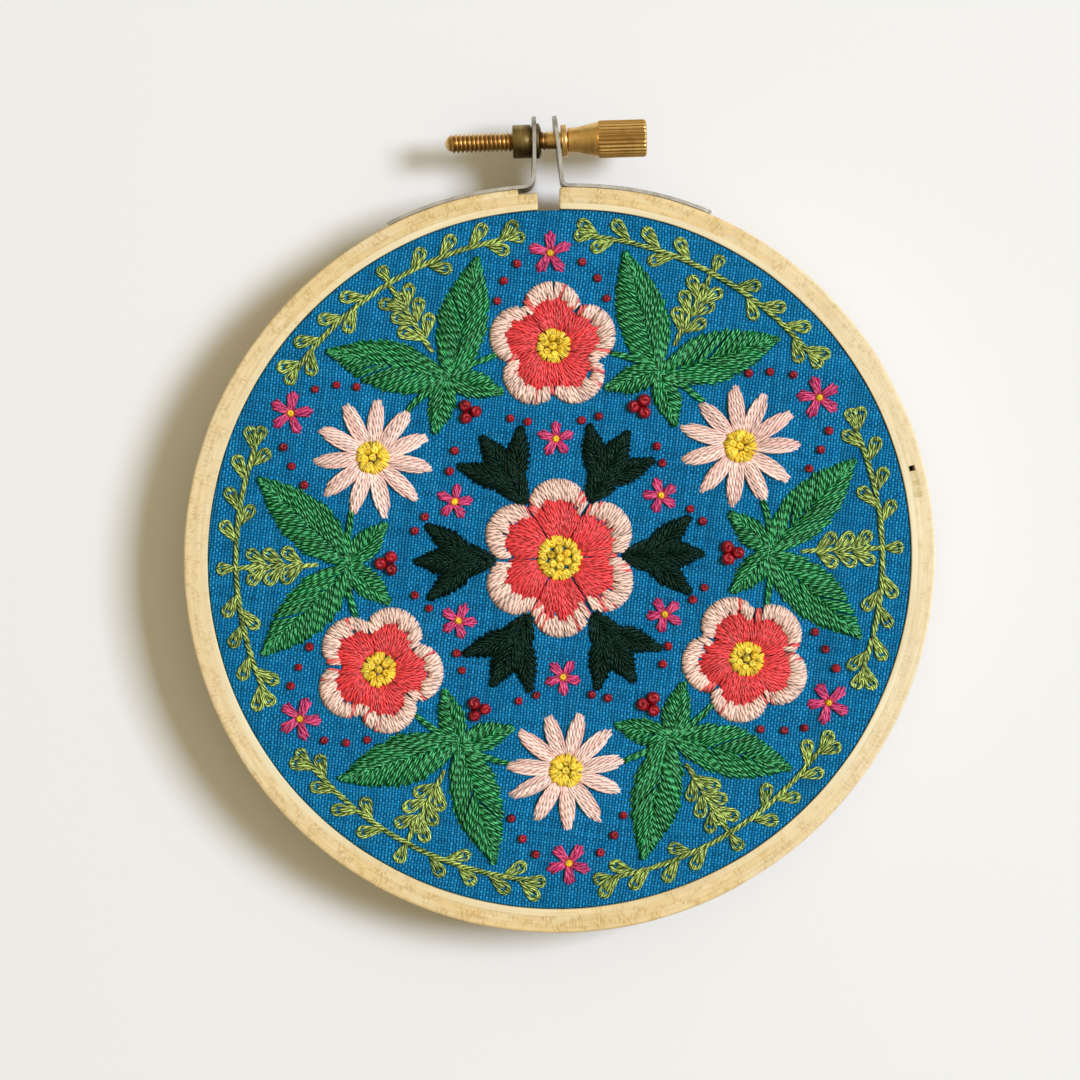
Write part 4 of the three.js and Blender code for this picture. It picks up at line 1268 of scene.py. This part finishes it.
rng = np.random.default_rng(12)
starts, ends = [], []
for angle in spray_angles:
    for length, width, start, tilt in (
        (DARK_SIDE_LENGTH, DARK_SIDE_WIDTH, DARK_SIDE_START, DARK_SIDE_TILT),
        (DARK_SIDE_LENGTH, DARK_SIDE_WIDTH, DARK_SIDE_START, -DARK_SIDE_TILT),
        (DARK_LENGTH, DARK_WIDTH, DARK_START, 0),
    ):
        turn = angle + tilt + rng.uniform(-1.5, 1.5)
        first, last = fishbone_leaf(rng, length, width, on_circle(start, angle), turn)
        starts.append(first)
        ends.append(last)
fingers = in_pairs(lay_stitches(starts, ends, 0.3), rng, LEAF_SPREAD)
bottle_green = floss_finish(
    "bottle_green_floss", (0.0012, 0.010, 0.006), (0.003, 0.028, 0.016), deep=0.9, shine=0.015, gloss=0.25
)
strand_piece(
    "dark_leaves", fingers, LEAF_STRAND, rng, 0, bottle_green, six_nodes("dark_leaf")
)


# The sprigs and the vine.
# Six lengths of vine run along the rim, and from the middle of each a sprig grows inwards between
# two leaves. Stems in stem stitch and small looped leaves, each tacked down at its tip, in lime
# and olive floss.
SPRIG_START = 35.25
SPRIG_END = 45.4
SPRIG_PAIRS = (37.4, 40, 42.6)
VINE_RADIUS = 47.2
VINE_REACH = 22.8
VINE_TILT = 35
VINE_OUTWARD = (4.5, 10, 15.5, 21)
VINE_INWARD = (7.2, 18.2)
VINE_STITCH = 2.2
SHORT_LEAF = 2.9
SPRIG_LEAF = 3.9
SPRIG_LEAF_WIDTH = 1.7
SPRIG_TILT = 38
LOOP_STEPS = 17


def looped_stitch(length, width, foot, degrees):
    """A lazy-daisy loop: out from the foot round the tip and back, a drop that is widest past its
    middle. x = L sin(pi s)^0.85 and y = W/2 sin(2 pi s) (0.45 + 0.55 sin(pi s)), for s from 0 to 1."""
    s = np.linspace(0, 1, LOOP_STEPS)
    x = length * np.sin(math.pi * s) ** 0.85
    y = width / 2 * np.sin(2 * math.pi * s) * (0.45 + 0.55 * np.sin(math.pi * s))
    flat = placed(np.stack([x, y], axis=-1), foot, degrees)
    enter = np.clip(np.minimum(s, 1 - s) / 0.07, 0, 1) ** 0.6
    height = CLOTH_TOP - UNDER_CLOTH + (UNDER_CLOTH + STRAND * 0.9) * enter
    return np.concatenate([flat, height[:, None]], axis=-1)


rng = np.random.default_rng(13)
loops = []
starts, ends = [], []
for angle in spray_angles:
    for line in (
        on_circle(np.linspace(SPRIG_START, VINE_RADIUS, 30), angle),
        on_circle(VINE_RADIUS, angle + np.linspace(-VINE_REACH, VINE_REACH, 80)),
    ):
        first, last = stem_stitches(rng, line, VINE_STITCH)
        starts.append(first)
        ends.append(last)
    # Each small leaf: distance of its foot, angle of its foot, its own direction, its length.
    leaves = [(radius, 0, side * SPRIG_TILT, SPRIG_LEAF) for radius in SPRIG_PAIRS for side in (1, -1)]
    leaves += [(SPRIG_END - SPRIG_LEAF, 0, 0, SPRIG_LEAF), (VINE_RADIUS, 0, 0, SHORT_LEAF)]
    for side in (1, -1):
        for away in VINE_OUTWARD:
            leaves.append((VINE_RADIUS, side * away, side * (away + 90 - VINE_TILT), SPRIG_LEAF))
        for away in VINE_INWARD:
            leaves.append((VINE_RADIUS, side * away, side * (away + 90 + VINE_TILT), SPRIG_LEAF))
        leaves.append((VINE_RADIUS, side * (VINE_REACH - 0.8), side * (VINE_REACH + 89), SHORT_LEAF))
    for distance, away, tilt, size in leaves:
        foot = on_circle(distance, angle + away)
        turn = angle + tilt + rng.uniform(-5, 5)
        length = size * rng.uniform(0.9, 1.02)
        loops.append(looped_stitch(length, SPRIG_LEAF_WIDTH, foot, turn))
        middle = placed(np.array([[0.3, 0], [length * 0.78, 0]]), foot, turn)
        tack_ends = placed(np.array([[length * 0.88, 0], [length * 1.06, 0]]), foot, turn)
        starts.append(np.stack([middle[0], tack_ends[0]]))
        ends.append(np.stack([middle[1], tack_ends[1]]))
lime = floss_finish("lime_floss", (0.05, 0.12, 0.008), (0.44, 0.57, 0.11), deep=1.2, shine=0.5)
straight = in_pairs(lay_stitches(starts, ends), rng, 0.15)
strand_piece(
    "sprig_stems", straight, STRAND * 0.85, rng, (0, 1), lime, six_nodes("sprig")
)
looped = in_pairs(np.stack(loops), rng, 0.13)
strand_piece(
    "sprig_loops", looped, STRAND * 0.8, rng, (0.2, 1), lime, six_nodes("sprig")
)


# The coral flowers.
# One broad six-petalled flower fills the middle and three five-petalled ones sit on the circle.
# Long and short stitches run from the eye outwards: coral first, then blush over the tips.
MIDDLE_FLOWER = {"radius": 11.6, "petals": 6, "eye": 2.9}
BLOSSOM = {"radius": 9.4, "petals": 5, "eye": 2.2}
WAIST = 0.66
ROWS = (
    # where the row starts and ends, as shares of the way from eye to edge, its tint and its spacing
    (0.0, 0.68, 0.0, 0.6),
    (0.58, 1.0, 1.0, 0.5),
)


def petal_edge(radius, petals, angle):
    """The flower's outline: R (waist + (1 - waist) sqrt|cos(petals a / 2)|)."""
    return radius * (WAIST + (1 - WAIST) * np.sqrt(np.abs(np.cos(petals * angle / 2))))


def long_and_short(rng, flower, middle, degrees):
    """Stitch ends, tints and lifts for one flower: for each row of stitches, spokes from the inner
    share of the way to the outer one, staggered, leaning towards their petal's own axis. In the
    outer row a few stitches near a petal's sides stay coral."""
    starts, ends, tints, lifts = [], [], [], []
    petals = flower["petals"]
    for inner, outer, row_tint, spacing in ROWS:
        for petal in range(petals):
            axis = 2 * math.pi * petal / petals
            half = math.pi / petals
            count = int(2 * half * flower["radius"] * (0.55 + 0.45 * outer) / spacing)
            spoke = np.linspace(-0.93, 0.93, count) * half + rng.normal(0, 0.012, count)
            reach = petal_edge(flower["radius"], petals, spoke) - flower["eye"]
            start_share = inner + (rng.uniform(0, 0.16, count) if inner > 0 else 0)
            end_share = outer + (rng.uniform(-0.08, 0.1, count) if outer < 1 else 0)
            lean = spoke * (0.72 if inner == 0 else 0.9)
            near = flower["eye"] + reach * start_share
            far = flower["eye"] + reach * end_share
            shown = np.full(count, True)
            if inner > 0:
                shown = rng.uniform(size=count) < 0.5 + 0.5 * np.cos(spoke / half * 1.2)
            tip = far[:, None] * np.stack([np.cos(axis + spoke), np.sin(axis + spoke)], axis=-1)
            root = near[:, None] * np.stack([np.cos(axis + lean), np.sin(axis + lean)], axis=-1)
            for chosen, tint, lift in ((shown, row_tint, 0.1 if inner > 0 else 0.0), (~shown, 0.15, 0.05)):
                starts.append(placed(root[chosen], middle, degrees))
                ends.append(placed(tip[chosen], middle, degrees))
                tints.append(np.full(chosen.sum(), tint))
                lifts.append(np.full(chosen.sum(), lift))
    return tuple(np.concatenate(values) for values in (starts, ends, tints, lifts))


rng = np.random.default_rng(14)
flowers = [long_and_short(rng, MIDDLE_FLOWER, np.zeros(2), FIRST_FLOWER)]
for angle in flower_angles[1::2]:
    flowers.append(long_and_short(rng, BLOSSOM, on_circle(GARLAND, angle), angle))
starts, ends, tints, lifts = (np.concatenate(values) for values in zip(*flowers))
petals = in_pairs(lay_stitches(starts, ends, 0.3, lifts), rng, 0.18)
coral = floss_finish("coral_floss", (0.76, 0.042, 0.050), (0.88, 0.61, 0.51), deep=0.62, shine=0.08)
coral_nodes = ["centre_petals", "petals_2", "petals_4", "petals_6"]
strand_piece("coral_flowers", petals, STRAND, rng, np.tile(tints, 2), coral, coral_nodes)


# The daisies.
# Three daisies share the circle with the coral flowers. Each petal is a sheaf of long straight
# stitches in blush pink, closed at both ends.
DAISY = {"radius": 9.2, "petals": 11, "eye": 2.1}
STITCHES_PER_PETAL = 5

rng = np.random.default_rng(15)
starts, ends, curves = [], [], []
for angle in flower_angles[0::2]:
    middle = on_circle(GARLAND, angle)
    for petal in range(DAISY["petals"]):
        axis = angle + 360 * petal / DAISY["petals"] + rng.uniform(-2, 2)
        spread = np.linspace(-1, 1, STITCHES_PER_PETAL)
        length = DAISY["radius"] * rng.uniform(0.97, 1.03)
        root = np.stack([np.full(STITCHES_PER_PETAL, DAISY["eye"] - 0.2), spread * 0.28], axis=-1)
        fall = 1.1 * spread**2 + rng.uniform(0, 0.7, STITCHES_PER_PETAL)
        tip = np.stack([length - fall, spread * 0.62], axis=-1)
        starts.append(placed(root, middle, axis))
        ends.append(placed(tip, middle, axis))
        curves.append(spread * 0.42)
sheaves = in_pairs(lay_stitches(starts, ends, 0.25, 0.0, np.concatenate(curves)), rng, 0.17)
blush = floss_finish("blush_floss", (0.82, 0.48, 0.41), (0.93, 0.72, 0.64), deep=0.46, shine=0.02)
daisy_nodes = ["petals_1", "petals_3", "petals_5"]
strand_piece("blush_daisies", sheaves, STRAND, rng, (0, 1), blush, daisy_nodes)


# The flowers' eyes.
# Yellow knots, each of floss wound round the needle, fill the eye of every large flower. Short
# yellow stitches run from the outermost knots out over the petals' feet.
KNOT_STEPS = 22
MIDDLE_KNOT_GAP = 1.25
KNOT_GAP = 1.2
KNOT_SIZES = (1.25, 1.5)
EYE_STRAND = 0.17


def knot_paths(rng, centres, size):
    """Coils that wind 2.3 times round their middle while they rise and close in, then dip down:
    radius = 0.3 size (1 - 0.55 s^1.5), height = size (0.16 + 0.34 s) over the cloth."""
    s = np.linspace(0, 1, KNOT_STEPS)[None, :]
    count = len(centres)
    size = np.broadcast_to(size, count)[:, None]
    turn = rng.uniform(0, 2 * math.pi, (count, 1)) + 2 * math.pi * 2.3 * s
    radius = size * 0.3 * (1 - 0.55 * s**1.5)
    rise = np.where(s < 0.06, -0.3 + s * 6, 0)
    fall = np.clip((s - 0.92) / 0.08, 0, 1) * size * 0.3
    height = CLOTH_TOP + size * (0.16 + 0.34 * s) + rise - fall
    x = centres[:, :1] + radius * np.cos(turn)
    y = centres[:, 1:] + radius * np.sin(turn)
    return np.stack([x, y, height], axis=-1)


def eye_places(rng, middle, radius, gap):
    """Knots packed in rings from the middle outwards."""
    places = [np.zeros((1, 2))]
    ring = gap
    while ring < radius:
        count = int(2 * math.pi * ring / (gap * 0.98))
        turns = np.arange(count) * 360 / count + rng.uniform(0, 60)
        places.append(on_circle(ring, turns))
        ring += gap * 0.9
    places = np.concatenate(places)
    return middle + places + rng.normal(0, 0.05, places.shape)


# Each eye: its middle, its radius, the gap between its knots and the number of its stitches.
eye_list = [(np.zeros(2), MIDDLE_FLOWER["eye"], MIDDLE_KNOT_GAP, 36)]
for number, angle in enumerate(flower_angles):
    flower = BLOSSOM if number % 2 else DAISY
    eye_list.append((on_circle(GARLAND, angle), flower["eye"], KNOT_GAP, 26))
eye_nodes = ["centre_eye"] + six_nodes("eye")
yellow = floss_finish("yellow_floss", (0.80, 0.49, 0.02), (0.93, 0.73, 0.09), deep=0.4, shine=0.04)

rng = np.random.default_rng(16)
places = np.concatenate([eye_places(rng, middle, radius, gap) for middle, radius, gap, _ in eye_list])
sizes = rng.uniform(*KNOT_SIZES, len(places))
strand_piece(
    "yellow_eyes",
    knot_paths(rng, places, sizes),
    sizes * 0.21,
    rng,
    (0, 1),
    yellow,
    eye_nodes,
)

starts, ends = [], []
for middle, radius, _, count in eye_list:
    turns = np.arange(count) * 360 / count + rng.uniform(-3, 3, count)
    starts.append(middle + on_circle(radius - rng.uniform(0.7, 1.0, count), turns))
    reach = radius + rng.uniform(0.1, 0.5, count)
    ends.append(middle + on_circle(reach, turns + rng.uniform(-4, 4, count)))
rays = in_pairs(lay_stitches(starts, ends, 0.15, 0.25), rng, 0.13)
strand_piece("yellow_eye_stitches", rays, EYE_STRAND, rng, (0, 1), yellow, eye_nodes)


# The crimson knots.
# Berries of three knots stand inside the leaf sprays, and smaller single knots lie in short rows
# beside the leaves.
BERRY_RADIUS = 25.1
BERRY_SPREAD = 1.02
BERRY_SIZE = 2.0
SINGLE_SIZE = 1.35
SINGLE_KNOTS = ((41.2, 20.6), (38.7, 17.9), (43.4, 23.6), (21.6, 12.5), (20.4, 19.0))

rng = np.random.default_rng(17)
places = []
for angle in spray_angles:
    around = on_circle(BERRY_SPREAD, angle + np.array([0, 120, 240]))
    places.append(on_circle(BERRY_RADIUS, angle) + around)
for angle in spray_angles:
    for side in (1, -1):
        for distance, away in SINGLE_KNOTS:
            single = on_circle(distance, angle + side * away)
            places.append(single[None, :] + rng.normal(0, 0.1, (1, 2)))
places = np.concatenate(places)
sizes = np.where(np.arange(len(places)) < 3 * SECTORS, BERRY_SIZE, SINGLE_SIZE)
sizes = sizes * rng.uniform(0.93, 1.06, len(places))
crimson = floss_finish("crimson_floss", (0.32, 0.006, 0.014), (0.50, 0.015, 0.03), deep=0.7, shine=0.08)
knots = knot_paths(rng, places, sizes)
strand_piece(
    "crimson_berries", knots, sizes * 0.2, rng, 0, crimson, six_nodes("berries")
)


# The small flowers.
# Twelve tiny flowers lie on two circles, inside and outside the garland. Each of the five petals
# is three straight stitches in magenta, and the middle is a yellow knot.
SMALL_FLOWERS = {"outer": (44.6, 3.3), "inner": (17.4, 2.75)}
SMALL_PETALS = 5
SMALL_KNOT = 1.15

rng = np.random.default_rng(18)
starts, ends, centres = [], [], []
for distance, reach in SMALL_FLOWERS.values():
    for angle in flower_angles:
        middle = on_circle(distance, angle)
        centres.append(middle)
        petal = np.arange(SMALL_PETALS) * 360 / SMALL_PETALS
        turns = np.repeat(angle + petal + rng.uniform(-4, 4, SMALL_PETALS), 3)
        fan = np.tile([-1, 1, 0], SMALL_PETALS)
        lengths = (reach - 0.35 * fan**2) * rng.uniform(0.93, 1.0, len(fan))
        starts.append(middle + on_circle(0.45, turns + fan * 14))
        ends.append(middle + on_circle(lengths, turns + fan * 11))
stars = in_pairs(lay_stitches(starts, ends, 0.15), rng, 0.17)
magenta = floss_finish(
    "magenta_floss", (0.44, 0.016, 0.12), (0.74, 0.08, 0.22), deep=0.7, shine=0.12, gloss=0.7
)
star_nodes = [node for place in SMALL_FLOWERS for node in six_nodes(f"{place}_flower")]
strand_piece("small_flowers", stars, STRAND, rng, (0, 1), magenta, star_nodes)
knots = knot_paths(rng, np.array(centres), SMALL_KNOT)
strand_piece("small_eyes", knots, 0.24, rng, 0, yellow, [])
